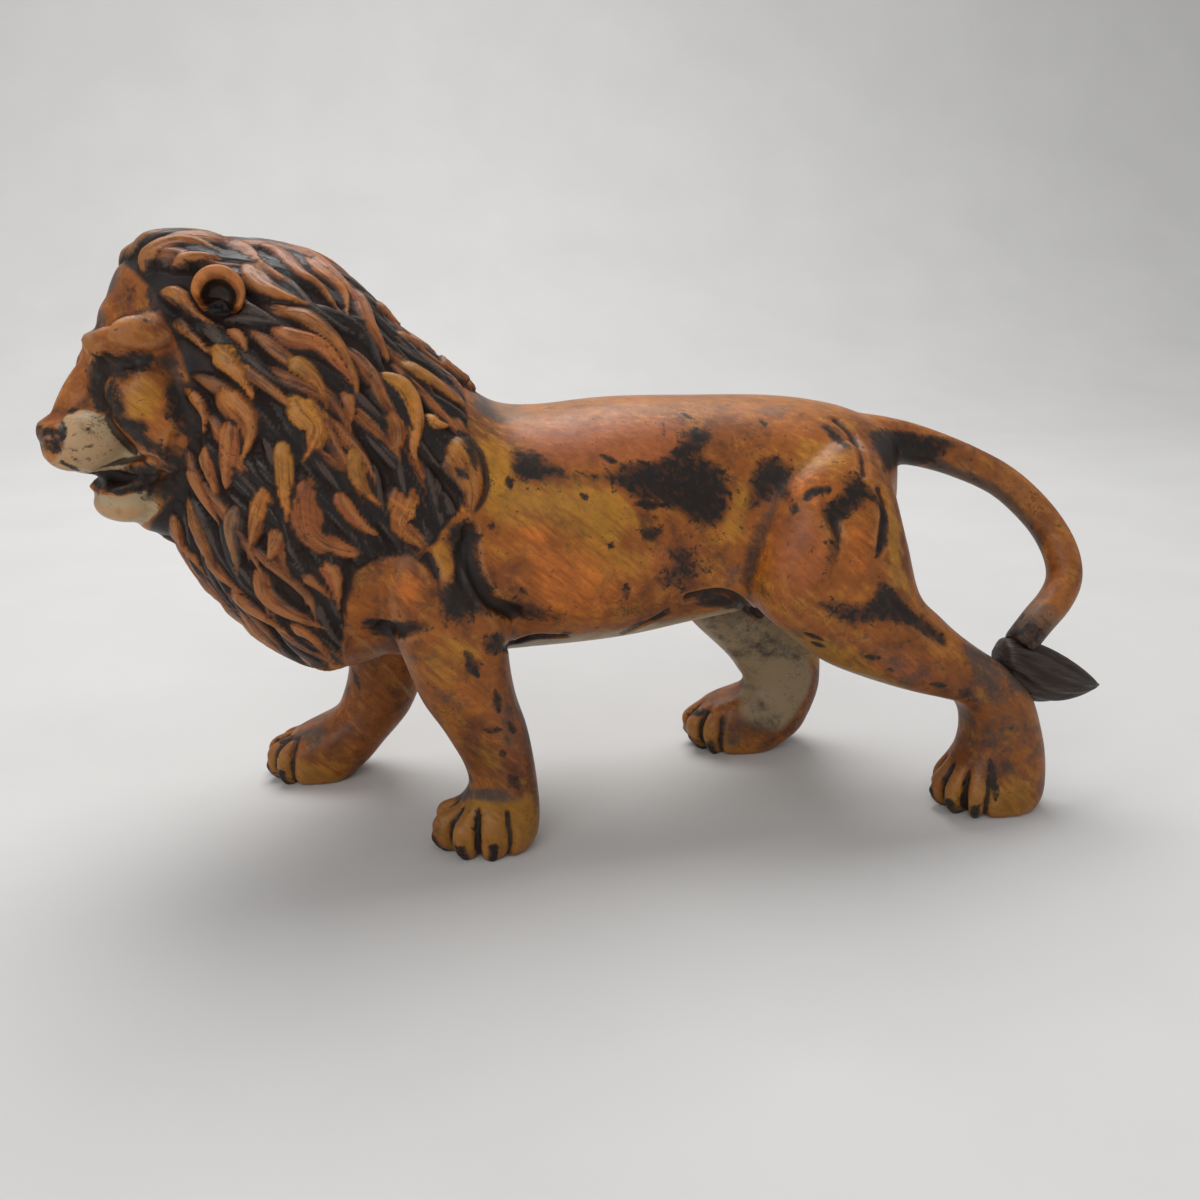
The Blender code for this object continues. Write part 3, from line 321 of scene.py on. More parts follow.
# dark paint brushed over the body: strength, radius, then picture places
darkMarks = (
    (1.0, 0.9, (508, 477), (511, 487)), (0.9, 0.8, (600, 455), (616, 462)),
    (0.9, 0.7, (581, 494), (588, 500)), (0.8, 0.9, (608, 544), (614, 547)),
    (0.8, 0.9, (625, 584), (627, 600)), (0.95, 0.9, (634, 504), (664, 505)),
    (0.6, 0.6, (652, 517), (660, 519)), (1.0, 0.9, (807, 497), (813, 491), (827, 490)),
    (1.0, 1.0, (796, 504), (793, 514)), (0.9, 1.0, (875, 497), (883, 515), (884, 529)),
    (0.9, 1.2, (884, 529), (877, 557)), (0.95, 0.75, (805, 633), (823, 640)),
    (0.95, 0.75, (811, 642), (825, 647)), (0.9, 0.7, (866, 656), (881, 658)),
    (0.7, 0.6, (886, 669), (894, 671)), (0.9, 0.7, (930, 684), (946, 686)),
    (0.95, 1.2, (463, 436), (472, 449), (475, 462)), (1.0, 1.1, (505, 648), (531, 638), (566, 634)),
    (0.9, 0.8, (622, 633), (640, 623), (668, 613)), (0.8, 0.6, (682, 413), (694, 420)),
    (0.5, 0.5, (664, 418), (664, 440)), (0.8, 0.9, (464, 652), (474, 664)),
    (0.95, 1.5, (468, 658), (478, 676)), (0.9, 1.0, (495, 690), (499, 712)),
    (0.8, 0.9, (508, 722), (514, 732)), (0.8, 0.8, (484, 730), (500, 731)),
    (0.9, 0.9, (501, 750), (504, 757)), (0.85, 1.1, (509, 776), (519, 789)),
    (1.0, 1.0, (470, 775), (471, 783)), (0.7, 1.0, (526, 700), (533, 760)),
    (0.9, 0.9, (512, 604), (524, 607)), (1.0, 1.3, (275, 741), (299, 738)),
    (0.8, 0.9, (468, 447), (476, 470)), (0.85, 1.0, (455, 468), (468, 478)),
    (0.9, 1.0, (417, 505), (424, 516)), (0.9, 0.9, (436, 504), (446, 515)),
    (0.6, 0.9, (488, 525), (494, 529)), (0.9, 1.0, (826, 427), (838, 440), (848, 446)),
    (0.7, 0.8, (848, 440), (864, 448)), (0.8, 0.8, (882, 466), (886, 474)),
    (0.7, 0.8, (520, 588), (528, 596)), (0.6, 0.8, (760, 418), (766, 428)),
    (0.9, 1.0, (688, 714), (712, 712)), (0.8, 1.0, (990, 760), (996, 800)),
    (0.7, 1.2, (960, 690), (975, 702)), (0.7, 0.8, (300, 660), (318, 668)),
    (0.8, 0.9, (352, 668), (360, 690)),
)

# shapes laid on as with a stencil: strength, width of the soft edge, then the picture outline
stencils = {
    "dark": (
        (1.0, 1.9, (
            (512, 452), (531, 449), (559, 469), (592, 475), (616, 471), (621, 464), (651, 464), (673, 456),
            (684, 434), (694, 426), (708, 430), (712, 443), (697, 449), (692, 458), (712, 459), (726, 471),
            (730, 488), (727, 518), (708, 532), (694, 524), (682, 511), (662, 505), (654, 497), (625, 494),
            (616, 484), (592, 480), (545, 478), (522, 485), (515, 480))),
        (1.0, 1.8, (
            (754, 466), (766, 457), (786, 459), (795, 473), (784, 484), (796, 504), (791, 513), (783, 498),
            (770, 495), (757, 511), (747, 526), (736, 535), (745, 519), (751, 497), (751, 484))),
        (1.0, 1.3, (
            (852, 456), (858, 477), (879, 496), (877, 504), (863, 498), (851, 515), (838, 524), (836, 551),
            (831, 578), (826, 574), (831, 529), (818, 511), (836, 499), (849, 484))),
        (1.0, 1.6, (
            (881, 578), (901, 600), (921, 618), (948, 638), (948, 646), (912, 627), (886, 621), (857, 625),
            (823, 610), (818, 595), (841, 604), (868, 606), (877, 595))),
        (1.0, 1.1, ((687, 600), (707, 590), (734, 597), (757, 611), (759, 617), (734, 608), (700, 606))),
        (1.0, 2.0, ((866, 432), (897, 429), (950, 440), (950, 456), (912, 467), (884, 470), (877, 450))),
        (0.8, 2.6, (
            (656, 530), (668, 528), (690, 545), (704, 565), (703, 585), (684, 592), (664, 588), (645, 584),
            (664, 574), (672, 556))),
        (1.0, 0.9, ((636, 530), (650, 529), (667, 524), (662, 534), (652, 541), (642, 537))),
        (1.0, 1.4, (
            (446, 521), (476, 520), (480, 566), (497, 600), (526, 606), (514, 618), (494, 613), (476, 613),
            (469, 627), (462, 615), (450, 627), (442, 614), (441, 592), (456, 570), (450, 545))),
        (1.0, 1.3, (
            (361, 615), (384, 620), (420, 622), (444, 628), (438, 632), (416, 632), (402, 639), (381, 636),
            (367, 629))),
        (0.95, 1.2, (
            (374, 534), (398, 533), (428, 553), (440, 566), (437, 590), (428, 566), (406, 552), (380, 556),
            (356, 572), (350, 560))),
        (0.6, 1.0, ((545, 612), (560, 606), (563, 620), (548, 623))),
        (0.8, 0.9, ((478, 640), (498, 628), (506, 640), (500, 655), (486, 655))),
        (0.6, 0.9, (
            (30, 426), (46, 424), (60, 426), (66, 430), (66, 446), (60, 456), (46, 452), (34, 440))),
        (0.9, 0.7, (
            (94, 474), (120, 468), (150, 463), (163, 470), (160, 484), (146, 491), (122, 495), (100, 490))),
        (0.8, 2.0, ((492, 604), (520, 600), (548, 606), (560, 618), (540, 622), (505, 616))),
        (0.6, 2.0, ((690, 740), (710, 730), (716, 742), (700, 752))),
    ),
    "ochre": (
        (0.9, 3.0, (
            (478, 428), (508, 440), (512, 484), (620, 488), (640, 540), (600, 545), (560, 522), (500, 520),
            (482, 512))),
        (0.7, 3.0, ((545, 530), (640, 545), (650, 580), (600, 585))),
        (0.85, 1.4, ((428, 440), (452, 434), (470, 446), (474, 470), (462, 486), (440, 476))),
        (0.8, 1.6, ((736, 480), (750, 478), (748, 515), (735, 540), (715, 545), (728, 515))),
        (0.6, 3.0, ((785, 440), (840, 445), (848, 480), (800, 470))),
        (0.8, 1.2, ((432, 545), (446, 542), (454, 570), (448, 580), (436, 572))),
        (0.6, 3.0, ((430, 640), (470, 628), (485, 650), (470, 668), (425, 690))),
        (0.9, 1.4, ((438, 815), (455, 800), (535, 795), (540, 845), (495, 856), (440, 846))),
        (0.8, 2.0, ((760, 625), (830, 640), (910, 690), (860, 690), (770, 650))),
        (0.85, 1.5, ((885, 480), (896, 510), (902, 560), (912, 596), (890, 585), (888, 520))),
        (0.9, 1.5, ((262, 750), (300, 760), (350, 775), (350, 785), (270, 785))),
        (0.8, 1.5, ((680, 720), (745, 735), (740, 752), (684, 750))),
        (0.8, 2.0, ((936, 785), (1034, 780), (1034, 822), (936, 822))),
        (0.6, 2.4, ((470, 740), (500, 745), (500, 775), (474, 772))),
        (0.8, 1.2, ((128, 385), (150, 372), (166, 392), (150, 418), (128, 420))),
    ),
    "bright": (
        # the first band runs along the top of the back: a painted highlight
        (0.5, 2.6, ((520, 416), (600, 410), (690, 412), (680, 424), (600, 428), (520, 430))),
        (0.9, 1.4, ((508, 528), (548, 524), (556, 540), (520, 548))),
        (0.75, 3.5, ((520, 545), (610, 545), (640, 585), (600, 620), (540, 615), (515, 580))),
        (0.9, 1.6, ((388, 575), (420, 572), (428, 600), (400, 606))),
        (0.8, 1.8, ((842, 530), (872, 520), (876, 570), (846, 590))),
        (0.8, 1.6, ((448, 486), (468, 480), (474, 505), (458, 512))),
        (0.6, 2.2, ((770, 480), (820, 470), (850, 500), (800, 515))),
        (0.7, 2.0, ((445, 675), (468, 672), (490, 710), (470, 720))),
        (0.6, 2.0, ((332, 690), (362, 690), (360, 735), (335, 730))),
        (0.7, 1.4, ((92, 350), (104, 356), (96, 385), (80, 400), (76, 392))),
    ),
    "rust": (
        (0.55, 3.0, ((481, 556), (530, 560), (540, 600), (510, 600), (486, 580))),
        (0.85, 2.0, ((770, 515), (826, 520), (828, 575), (800, 600), (775, 570))),
        (0.7, 2.0, ((655, 535), (700, 540), (706, 590), (650, 590))),
        (0.95, 2.4, ((512, 424), (600, 420), (690, 422), (690, 450), (672, 462), (620, 468), (540, 462))),
        (0.5, 2.4, ((108, 320), (140, 300), (150, 318), (120, 345), (104, 344))),
        (0.6, 2.6, ((480, 690), (525, 690), (530, 770), (505, 780))),
        (0.75, 2.0, ((860, 640), (940, 660), (944, 690), (890, 680))),
    ),
    "cream": (
        (1.0, 0.7, (
            (64, 416), (82, 409), (106, 416), (122, 436), (142, 455), (124, 468), (98, 482), (66, 482),
            (48, 466), (64, 449), (64, 430))),
        (1.0, 0.6, ((92, 494), (122, 496), (150, 489), (160, 512), (132, 532), (100, 528), (88, 508))),
        (0.8, 1.0, ((505, 656), (533, 646), (616, 636), (660, 620), (660, 634), (580, 655))),
        (0.9, 2.5, ((690, 615), (760, 616), (812, 660), (812, 690), (780, 735), (735, 720), (742, 680))),
        (0.45, 2.0, ((320, 610), (360, 625), (412, 690), (395, 690), (345, 640))),
        (0.4, 1.0, ((98, 484), (110, 487), (122, 492), (104, 491))),
    ),
    "smoke": (
        (0.75, 1.6, ((752, 408), (780, 402), (800, 410), (785, 420), (760, 418))),
        (0.9, 1.0, ((462, 785), (510, 788), (528, 800), (505, 806), (470, 800), (452, 806))),
        (0.85, 1.6, ((298, 728), (325, 725), (330, 745), (312, 750), (290, 742))),
        (0.85, 2.6, ((466, 386), (494, 396), (530, 404), (524, 424), (492, 424), (470, 410))),
        (0.6, 2.0, ((725, 545), (750, 545), (752, 590), (715, 590))),
        (0.7, 1.6, ((960, 640), (1000, 640), (1010, 700), (975, 690))),
        (0.5, 2.0, ((985, 700), (1020, 700), (1030, 760), (1000, 770))),
        (0.55, 3.0, ((470, 690), (500, 680), (530, 700), (530, 770), (500, 760), (480, 720))),
        (0.55, 3.5, ((835, 600), (900, 640), (940, 680), (900, 700), (850, 650))),
        (0.6, 2.6, ((712, 704), (760, 694), (790, 704), (776, 752), (715, 752))),
        (0.5, 3.0, ((385, 650), (440, 650), (470, 690), (480, 722), (450, 726), (425, 690))),
        (0.5, 3.0, ((950, 690), (1010, 670), (1040, 720), (1040, 790), (1000, 800), (960, 760))),
        (0.45, 3.0, ((300, 690), (330, 660), (350, 690), (330, 740), (300, 735))),
        (0.5, 3.0, ((510, 640), (540, 640), (545, 760), (530, 790), (520, 700))),
        (0.45, 3.0, ((780, 620), (830, 600), (880, 640), (860, 660), (800, 650))),
        (0.8, 1.2, ((118, 252), (132, 240), (126, 262), (116, 285), (106, 300), (104, 290))),
        (0.8, 1.2, ((80, 332), (100, 306), (108, 312), (96, 340), (74, 352), (64, 352))),
        (0.5, 1.0, ((100, 482), (128, 486), (150, 484), (146, 491), (110, 492))),
    ),
}
# pale paint, where the seam on the chest is rubbed bare
paleMarks = (
    (0.6, 0.75, (336, 622), (354, 633), (370, 646), (386, 666), (400, 682), (413, 698)),
)
# dark paint in the face
faceMarks = (
    (1.0, 2.3, (104, 362), (122, 368), (138, 362)), (1.0, 2.0, (138, 363), (150, 358)),
    (1.0, 2.6, (98, 374), (102, 394), (112, 408)), (1.0, 2.3, (112, 384), (106, 402)),
    (1.0, 1.6, (100, 360), (96, 380)), (1.0, 0.8, (68, 412), (78, 409)),
    (1.0, 1.3, (112, 414), (124, 424), (140, 426)), (0.8, 1.6, (130, 432), (148, 444), (164, 452)),
    (0.95, 2.3, (176, 392), (184, 408), (190, 426)), (1.0, 2.2, (172, 400), (178, 420)),
    (0.7, 0.9, (170, 360), (178, 363)), (1.0, 1.7, (44, 436), (47, 430)), (1.0, 0.8, (62, 424), (64, 440)),
    (1.0, 1.0, (54, 444), (60, 452)), (0.9, 0.45, (62, 462), (78, 470), (96, 474)),
    (1.0, 1.2, (104, 475), (128, 478), (150, 478)), (0.8, 1.0, (150, 484), (150, 494)),
    (1.0, 2.6, (176, 460), (180, 480), (178, 500)), (0.8, 2.0, (164, 480), (166, 498)),
    (0.5, 1.5, (138, 318), (150, 322)), (0.5, 1.6, (128, 300), (134, 286)),
    (0.8, 2.0, (158, 262), (150, 276)), (0.9, 1.2, (172, 276), (186, 268), (206, 266)),
    (0.9, 1.8, (160, 304), (176, 312), (196, 326)), (0.9, 1.4, (150, 288), (152, 300)),
    (0.75, 0.35, (72, 437), (76, 433)), (0.75, 0.35, (86, 430), (91, 427)),
    (0.75, 0.35, (68, 449), (78, 450)), (0.75, 0.35, (84, 447), (92, 446)),
    (0.6, 0.3, (98, 444), (103, 445)), (0.7, 0.3, (70, 457), (77, 460)), (0.6, 0.35, (84, 459), (92, 459)),
    (0.5, 0.3, (102, 456), (107, 455)), (0.5, 0.3, (110, 450), (113, 451)),
)
paintLevels = {"cavityGain": 3.6, "wideGain": 1.5}

# outlines in the picture of the hair and of the bare face
regions = {
    "mane": (
        (60, 210), (500, 210), (486, 398), (466, 430), (462, 470), (462, 512), (446, 520), (434, 548),
        (400, 556), (376, 556), (352, 572), (342, 612), (352, 664), (330, 668), (150, 668), (150, 520),
    ),
    "face": (
        (20, 300), (96, 302), (104, 268), (122, 262), (142, 278), (158, 296), (168, 322), (180, 346),
        (186, 372), (196, 392), (196, 426), (182, 462), (176, 496), (150, 524), (20, 540),
    ),
}

# paint at a lock's root and at its tip: the four lock layers, then how much of the dark it hides
lockLayers = ("ochre", "rust", "bright", "smoke")
lockPaints = {
    "ember": ((0.25, 0.10, 0.30, 0.0, 1.0), (0.0, 0.45, 0.35, 0.0, 1.0)),
    "ochre": ((0.95, 0.0, 0.1, 0.0, 1.0), (0.35, 0.0, 0.8, 0.0, 1.0)),
    "rust": ((0.0, 0.80, 0.15, 0.0, 1.0), (0.0, 0.95, 0.0, 0.0, 1.0)),
    "smoke": ((0.0, 0.1, 0.0, 0.7, 0.9), (0.0, 0.0, 0.0, 0.8, 0.9)),
    "dim": ((0.1, 0.5, 0.0, 0.25, 0.62), (0.0, 0.6, 0.0, 0.3, 0.70)),
    "bare": ((0.0, 0.0, 0.0, 0.0, 0.10), (0.0, 0.0, 0.0, 0.0, 0.16)),
}

# colour layers on the clay, up to three parts in each
layerParts = {
    "paintZones": ("ochre", "rust", "cream"),
    # the second layer also carries painted shade in its smoke part and a painted highlight in its bright
    # part
    "paintWearShadeAndSheen": ("dark", "smoke", "bright"),
    "clayShape": ("cavity", "crest", "tone"),
    "hair": ("ground", "hairy"),
    "hairFlow": ("flowAcross", "flowAlong", "flowLock"),
}
# crest is the light ridge paint, partly a painted highlight; smoke is grey paint that also lays painted
# shade inside the hind legs and under the tail
paints = {
    "ember": "#A45C20", "emberDeep": "#6E3B1C", "ochre": "#AE7424", "gold": "#AC7C24", "rust": "#A0582C",
    "bright": "#C66C26", "cream": "#B09A78", "smoke": "#494440", "umber": "#2A1A13", "black": "#1B1512",
    "crest": "#BB7E45", "hairShade": "#4A3B33",
}
# noise: millimetres across, detail and roughness; the two of 1000 are scaled by their own mapping
grains = {
    "broad": (17.0, 4.0, 0.6), "patch": (6.5, 4.0, 0.6), "brush": (2.6, 4.0, 0.6), "dab": (1.7, 4.0, 0.6),
    "speck": (1.1, 4.0, 0.6), "fine": (0.45, 4.0, 0.6), "mottle": (5.0, 8.0, 0.74),
    "stroke": (1000.0, 5.0, 0.65), "strand": (1000.0, 2.0, 0.5),
}
# a dry brush drawn down and back over the flank, and threads along the locks
strokes = {"along": 9.0, "across": 1.5, "lean": -42.0, "strandAlong": 7.0, "strandAcross": 0.55}
# coats of paint in their order: paint, strength, mask, pattern that breaks its edge, how much, from and to
coats = {
    "ground": (
        ("ochre", 0.55, "patch", "stroke", 1.4, 0.46, 0.78),
        ("ochre", 0.92, "ochre", "stroke", 1.5, 0.15, 0.7),
        ("rust", 0.85, "rust", "stroke", 1.5, 0.2, 0.8),
        ("bright", 0.85, "bright", "stroke", 1.4, 0.25, 0.9),
    ),
    # cream, grey smoke that is partly painted shade, and crest, the light ridge paint that is partly a
    # painted highlight
    "wearShadeAndSheen": (
        ("cream", 0.92, "cream", "mottle", 0.9, 0.3, 0.7),
        ("smoke", 0.85, "smoke", "mottle", 1.5, 0.3, 0.85),
        ("crest", 0.45, "crest", "stroke", 0.8, 0.3, 1.0),
    ),
    "dirt": (
        ("umber", 0.5, "mottle", "stroke", 0.8, 0.5, 0.78),
        ("umber", 0.6, "halo", "stroke", 1.6, 0.25, 0.8),
    ),
    "dark": (
        ("umber", 0.9, "cavity", "speck", 0.5, 0.22, 0.8),
        ("umber", 0.66, "dark", "wearAndSheen", 2.6, 0.25, 0.9),
        ("black", 0.88, "dark", "dab", 4.0, 0.52, 1.05),
        ("black", 0.7, "dark", "stroke", 3.0, 0.62, 1.0),
        ("umber", 0.6, "patch", "fine", 0.8, 0.66, 0.76),
    ),
}


def hexToLinear(code):
    # sRGB hex to linear
    channels = [int(code[i:i + 2], 16) / 255 for i in (1, 3, 5)]
    return [c / 12.92 if c <= 0.04045 else ((c + 0.055) / 1.055) ** 2.4 for c in channels]


def placed(name, data):
    # a new object in the scene
    made = bpy.data.objects.new(name, data)
    bpy.context.scene.collection.objects.link(made)
    return made


def makeCamera():
    data = bpy.data.cameras.new("photoCamera")
    data.lens = camera["lens"]
    data.sensor_width = camera["sensor"]
    data.clip_start = camera["nearest"] * millimetre
    made = placed("photoCamera", data)
    made.location = [p * millimetre for p in camera["place"]]
    made.rotation_euler = (math.radians(90 - camera["down"]), 0.0, math.radians(-camera["round"]))
    bpy.context.scene.camera = made


def cameraAxes():
    # the way the camera looks, its right, its up and its focal length in pixels
    down, turn = math.radians(camera["down"]), math.radians(camera["round"])
    forward = np.array([math.sin(turn) * math.cos(down), math.cos(turn) * math.cos(down), -math.sin(down)])
    right = np.array([math.cos(turn), -math.sin(turn), 0.0])
    return forward, right, np.cross(right, forward), camera["lens"] / camera["sensor"] * camera["picture"]


def pixelWay(x, y):
    # direction of sight through a picture place
    forward, right, up, focal = cameraAxes()
    half = camera["picture"] / 2
    return unit(forward + right * (x - half) / focal - up * (y - half) / focal)


def pictureOf(points):
    # where points are seen in the picture
    forward, right, up, focal = cameraAxes()
    seen = points - np.array(camera["place"])
    across, above = focal * (seen @ right) / (seen @ forward), focal * (seen @ up) / (seen @ forward)
    half = camera["picture"] / 2
    return np.stack([half + across, half - above], axis=1)


def unit(vectors):
    # the same directions, each with a length of 1
    return vectors / np.maximum(np.linalg.norm(vectors, axis=-1, keepdims=True), 1e-9)


def smoothStep(low, high, values):
    t = np.clip((values - low) / (high - low), 0.0, 1.0)
    return t * t * (3 - 2 * t)


def smoothBand(low, full, fade, high, values):
    # rises from low to full and falls again from fade to high
    return smoothStep(low, full, values) * (1 - smoothStep(fade, high, values))


def squeezed(values, limit, room):
    # what passes the limit less its room is pressed in below the limit
    start = limit - room
    pressed = limit - room * np.exp(-(np.maximum(values, start) - start) / room)
    return np.where(values > start, pressed, values)


def smoothRows(rows, count):
    # cubic through every row, its slope taken from the rows on each side
    table = np.array(rows, float)
    leaning = np.gradient(table, axis=0)
    places = np.linspace(0.0, len(table) - 1.0, count)
    before = np.minimum(places.astype(int), len(table) - 2)
    t = (places - before)[:, None]
    start, end, leave, arrive = table[before], table[before + 1], leaning[before], leaning[before + 1]
    return ((1 + 2 * t) * (1 - t) ** 2 * start + t * (1 - t) ** 2 * leave
            + t**2 * (3 - 2 * t) * end - t**2 * (1 - t) * arrive)


def rowsAt(rows, places):
    fine = smoothRows(rows, 12 * len(rows))
    return np.stack([np.interp(places, fine[:, 0], column) for column in fine.T], axis=1)


def ovalRound(count, fullness):
    # unit outline: a circle at fullness 2, squarer above it
    turn = np.linspace(0.0, 2 * math.pi, count, endpoint=False)
    return [np.sign(wave) * np.abs(wave) ** (2 / fullness) for wave in (np.sin(turn), np.cos(turn))]


def trunkGrid(rows, start, length, height, half, grow, rings=60, around=72):
    # upright ovals along the spine, each with its own top, widest height, underside and half width
    first, last = rows[0][0] - grow / length, rows[-1][0] + grow / length
    table = rowsAt(rows, np.linspace(max(first, rows[0][0]), min(last, rows[-1][0]), rings))
    along = start + length * np.linspace(first, last, rings)
    top, middle, under = height * table[:, 1] + grow, height * table[:, 2], height * table[:, 3] - grow
    wide = np.maximum(half * table[:, 4] + grow, 0.2)
    across, up = ovalRound(around, lion["trunkFullness"])
    above, below = np.maximum(top - middle, 0.2)[:, None], np.maximum(middle - under, 0.2)[:, None]
    x = np.repeat(along[:, None], around, 1)
    z = middle[:, None] + np.where(up > 0, above, below) * up
    return np.stack([x, wide[:, None] * across, z], axis=2)


def torsoGrid(grow=0.0):
    sizes = [lion[name] for name in ("torsoFront", "torsoLength", "backHeight", "torsoHalf")]
    return trunkGrid(torsoShares, *sizes, grow)


def maneGrid(grow=0.0):
    sizes = [lion[name] for name in ("maneFront", "maneLength", "maneHeight", "maneHalf")]
    return trunkGrid(maneShares, *sizes, grow)


def loweredMane(grow, top):
    # the mane's form with its upper side let down, to leave room for the locks
    grid = maneGrid(grow)
    middle = grid[..., 2].mean(axis=1, keepdims=True)
    tall = grid[..., 2].max(axis=1, keepdims=True) - middle
    over = np.clip((grid[..., 2] - middle) / np.maximum(tall, 1.0), 0, 1)
    grid[..., 2] -= top * over**2
    return grid


def limbEdges(limb, levels):
    # front, rear, inner and outer edge at heights given as shares of the back's height
    table = rowsAt(limb["shares"], levels)
    front, rear = [limb["place"] + lion["backHeight"] * table[:, k] for k in (1, 2)]
    inner, outer = [lion["stanceHalf"] * table[:, k] for k in (3, 4)]
    return front, rear, inner, outer


def limbGrid(limb, low, high, grow=0.0, rings=70, around=40):
    # level ovals up the limb, between its front, rear, inner and outer edges
    levels = np.linspace(low, high, rings) / lion["backHeight"]
    front, rear, inner, outer = limbEdges(limb, levels)
    deep, broad = (rear - front) / 2 + grow, (outer - inner) / 2 + grow
    across, up = ovalRound(around, lion["limbFullness"])
    x = ((front + rear) / 2)[:, None] + deep[:, None] * up
    y = limb["side"] * (((inner + outer) / 2)[:, None] + broad[:, None] * across)
    z = np.repeat((lion["backHeight"] * levels)[:, None], around, 1)
    return np.stack([x, y, z], axis=2)


def tubeGrid(line, radius, around):
    # round rings square to a line
    ahead = unit(np.gradient(line, axis=0))
    side = unit(np.cross(ahead, (0.0, 1.0, 0.0)))
    over = np.cross(ahead, side)
    across, up = [wave[None, :, None] for wave in ovalRound(around, 2.0)]
    return line[:, None] + radius[:, None, None] * (across * side[:, None] + up * over[:, None])


def tailLine():
    rows = smoothRows(tailShares, tail["steps"])
    rootPlace = lion["torsoFront"] + lion["torsoLength"] * tail["rootShare"]
    root = np.array((rootPlace, 0.0, lion["backHeight"] - tail["rootDepth"]))
    return root + tail["reach"] * rows[:, :3], tail["radius"] * rows[:, 3]


def headAxes():
    # the turned head's forward and side, and the middle of the neck, where the shells' parting bends too
    turn = math.radians(lion["headTurn"])
    forward = np.array([-math.cos(turn), -math.sin(turn), 0.0])
    side = np.array([-math.sin(turn), math.cos(turn), 0.0])
    return forward, side, np.array([lion["neckPlace"], 0.0, 0.0])


def headPoint(x, y, out):
    # where the line of sight meets the upright plane that lies a distance out from the head's middle
    _, side, neck = headAxes()
    eye, way = np.array(camera["place"]), pixelWay(x, y)
    return eye + way * (out - (eye - neck) @ side) / (way @ side)


def mirrorHead(point):
    # the same place on the other side of the turned head
    _, side, neck = headAxes()
    return point - 2 * ((point - neck) @ side)[..., None] * side


def eggGrid(centre, ways, radii, rings, around):
    # an ellipsoid whose three radii lie along three ways
    polar = np.linspace(0.06, math.pi - 0.06, rings)[:, None, None]
    turn = np.linspace(0, 2 * math.pi, around, endpoint=False)[None, :, None]
    ahead, over, above = [way * radius for way, radius in zip(ways, radii)]
    return centre + np.cos(polar) * ahead + np.sin(polar) * (np.cos(turn) * over + np.sin(turn) * above)


def headGrids():
    # each form stands in the head's own directions, tipped nose down by its tilt
    forward, side, _ = headAxes()
    grids = []
    for name, (x, y, out, *radii, tilt) in headForms.items():
        down, level = math.sin(math.radians(tilt)), math.cos(math.radians(tilt))
        ways = (forward * level - upright * down, side, upright * level + forward * down)
        grids.append(eggGrid(headPoint(x, y, out), ways, radii, 24, 32))
        if out:
            # the brow over the far eye lies flatter, inside the profile that shows
            flat, inset = farBrow if name in ("brow", "browBack", "eyeBall") else (1.0, 0.0)
            inner = mirrorHead(headPoint(x, y, out + inset))
            grids.append(eggGrid(inner, ways, [flat * radius for radius in radii], 24, 32))
    return grids


paws = {"level": 0.07, "aheadShare": 0.62, "toes": 4, "toeAhead": 6.3, "toeAside": 5.0, "toeHeight": 4.9,
        "toeRadii": (5.4, 3.0, 5.0), "grooveDepth": 1.7, "grooveHalf": 0.85, "grooveTop": 9.5,
        "grooveEnd": 14.0, "outerGroove": 0.55, "grooveDark": 0.95, "reach": 20.0, "reachHeight": 18.0,
        "middle": (4.0, 7.0),
        "knuckle": 0.9, "knuckleHeight": 8.0, "knuckleHalf": 2.4,
        "clawHalf": 1.15, "clawTop": 5.6, "clawFade": 1.5, "clawSwell": 0.8}


def pawFrame(limb):
    # the paw's middle and the toes' angles round it, from straight ahead towards the outer side
    front, rear, inner, outer = [edge[0] for edge in limbEdges(limb, [paws["level"]])]
    along = front * paws["aheadShare"] + rear * (1 - paws["aheadShare"])
    middle = np.array([along, limb["side"] * (inner + outer) / 2])
    return middle, np.radians(np.linspace(limb["toesFrom"], limb["toesTo"], paws["toes"]))


def toeGrids(limb):
    # egg-shaped toes fanned round the front of the paw
    middle, angles = pawFrame(limb)
    grids = []
    for angle in angles:
        way = np.array([-math.cos(angle), limb["side"] * math.sin(angle), 0.0])
        over = np.array([-way[1], way[0], 0.0])
        x, y = middle + way[:2] * (paws["toeAhead"], paws["toeAside"])
        grids.append(eggGrid((x, y, paws["toeHeight"]), (way, over, upright), paws["toeRadii"], 18, 24))
    return grids


def gridMesh(*grids):
    # quads over each grid, with a fan of triangles to a middle point at both ends
    points, faces, base = [], [], 0
    for grid in grids:
        rings, around, _ = grid.shape
        index = base + np.arange(rings * around).reshape(rings, around)
        after = np.roll(index, -1, axis=1)
        quads = np.stack([index[:-1], after[:-1], after[1:], index[1:]], axis=2).reshape(-1, 4)
        start, end = base + rings * around, base + rings * around + 1
        points += [grid.reshape(-1, 3), grid[0].mean(axis=0)[None], grid[-1].mean(axis=0)[None]]
        faces += quads.tolist()
        faces += np.stack([after[0], index[0], np.full(around, start)], axis=1).tolist()
        faces += np.stack([index[-1], after[-1], np.full(around, end)], axis=1).tolist()
        base += rings * around + 2
    return np.concatenate(points), faces


def perRing(values, around, start, end):
    # each ring's value for all its points, then those of the two end points that gridMesh adds
    return np.concatenate([np.repeat(values, around), [start, end]])


def makeObject(name, shape, material=None):
    points, faces = shape
    mesh = bpy.data.meshes.new(name)
    mesh.from_pydata((points * millimetre).tolist(), [], faces)
    mesh.validate()
    mesh.update()
    if material:
        mesh.materials.append(material)
    return placed(name, mesh)


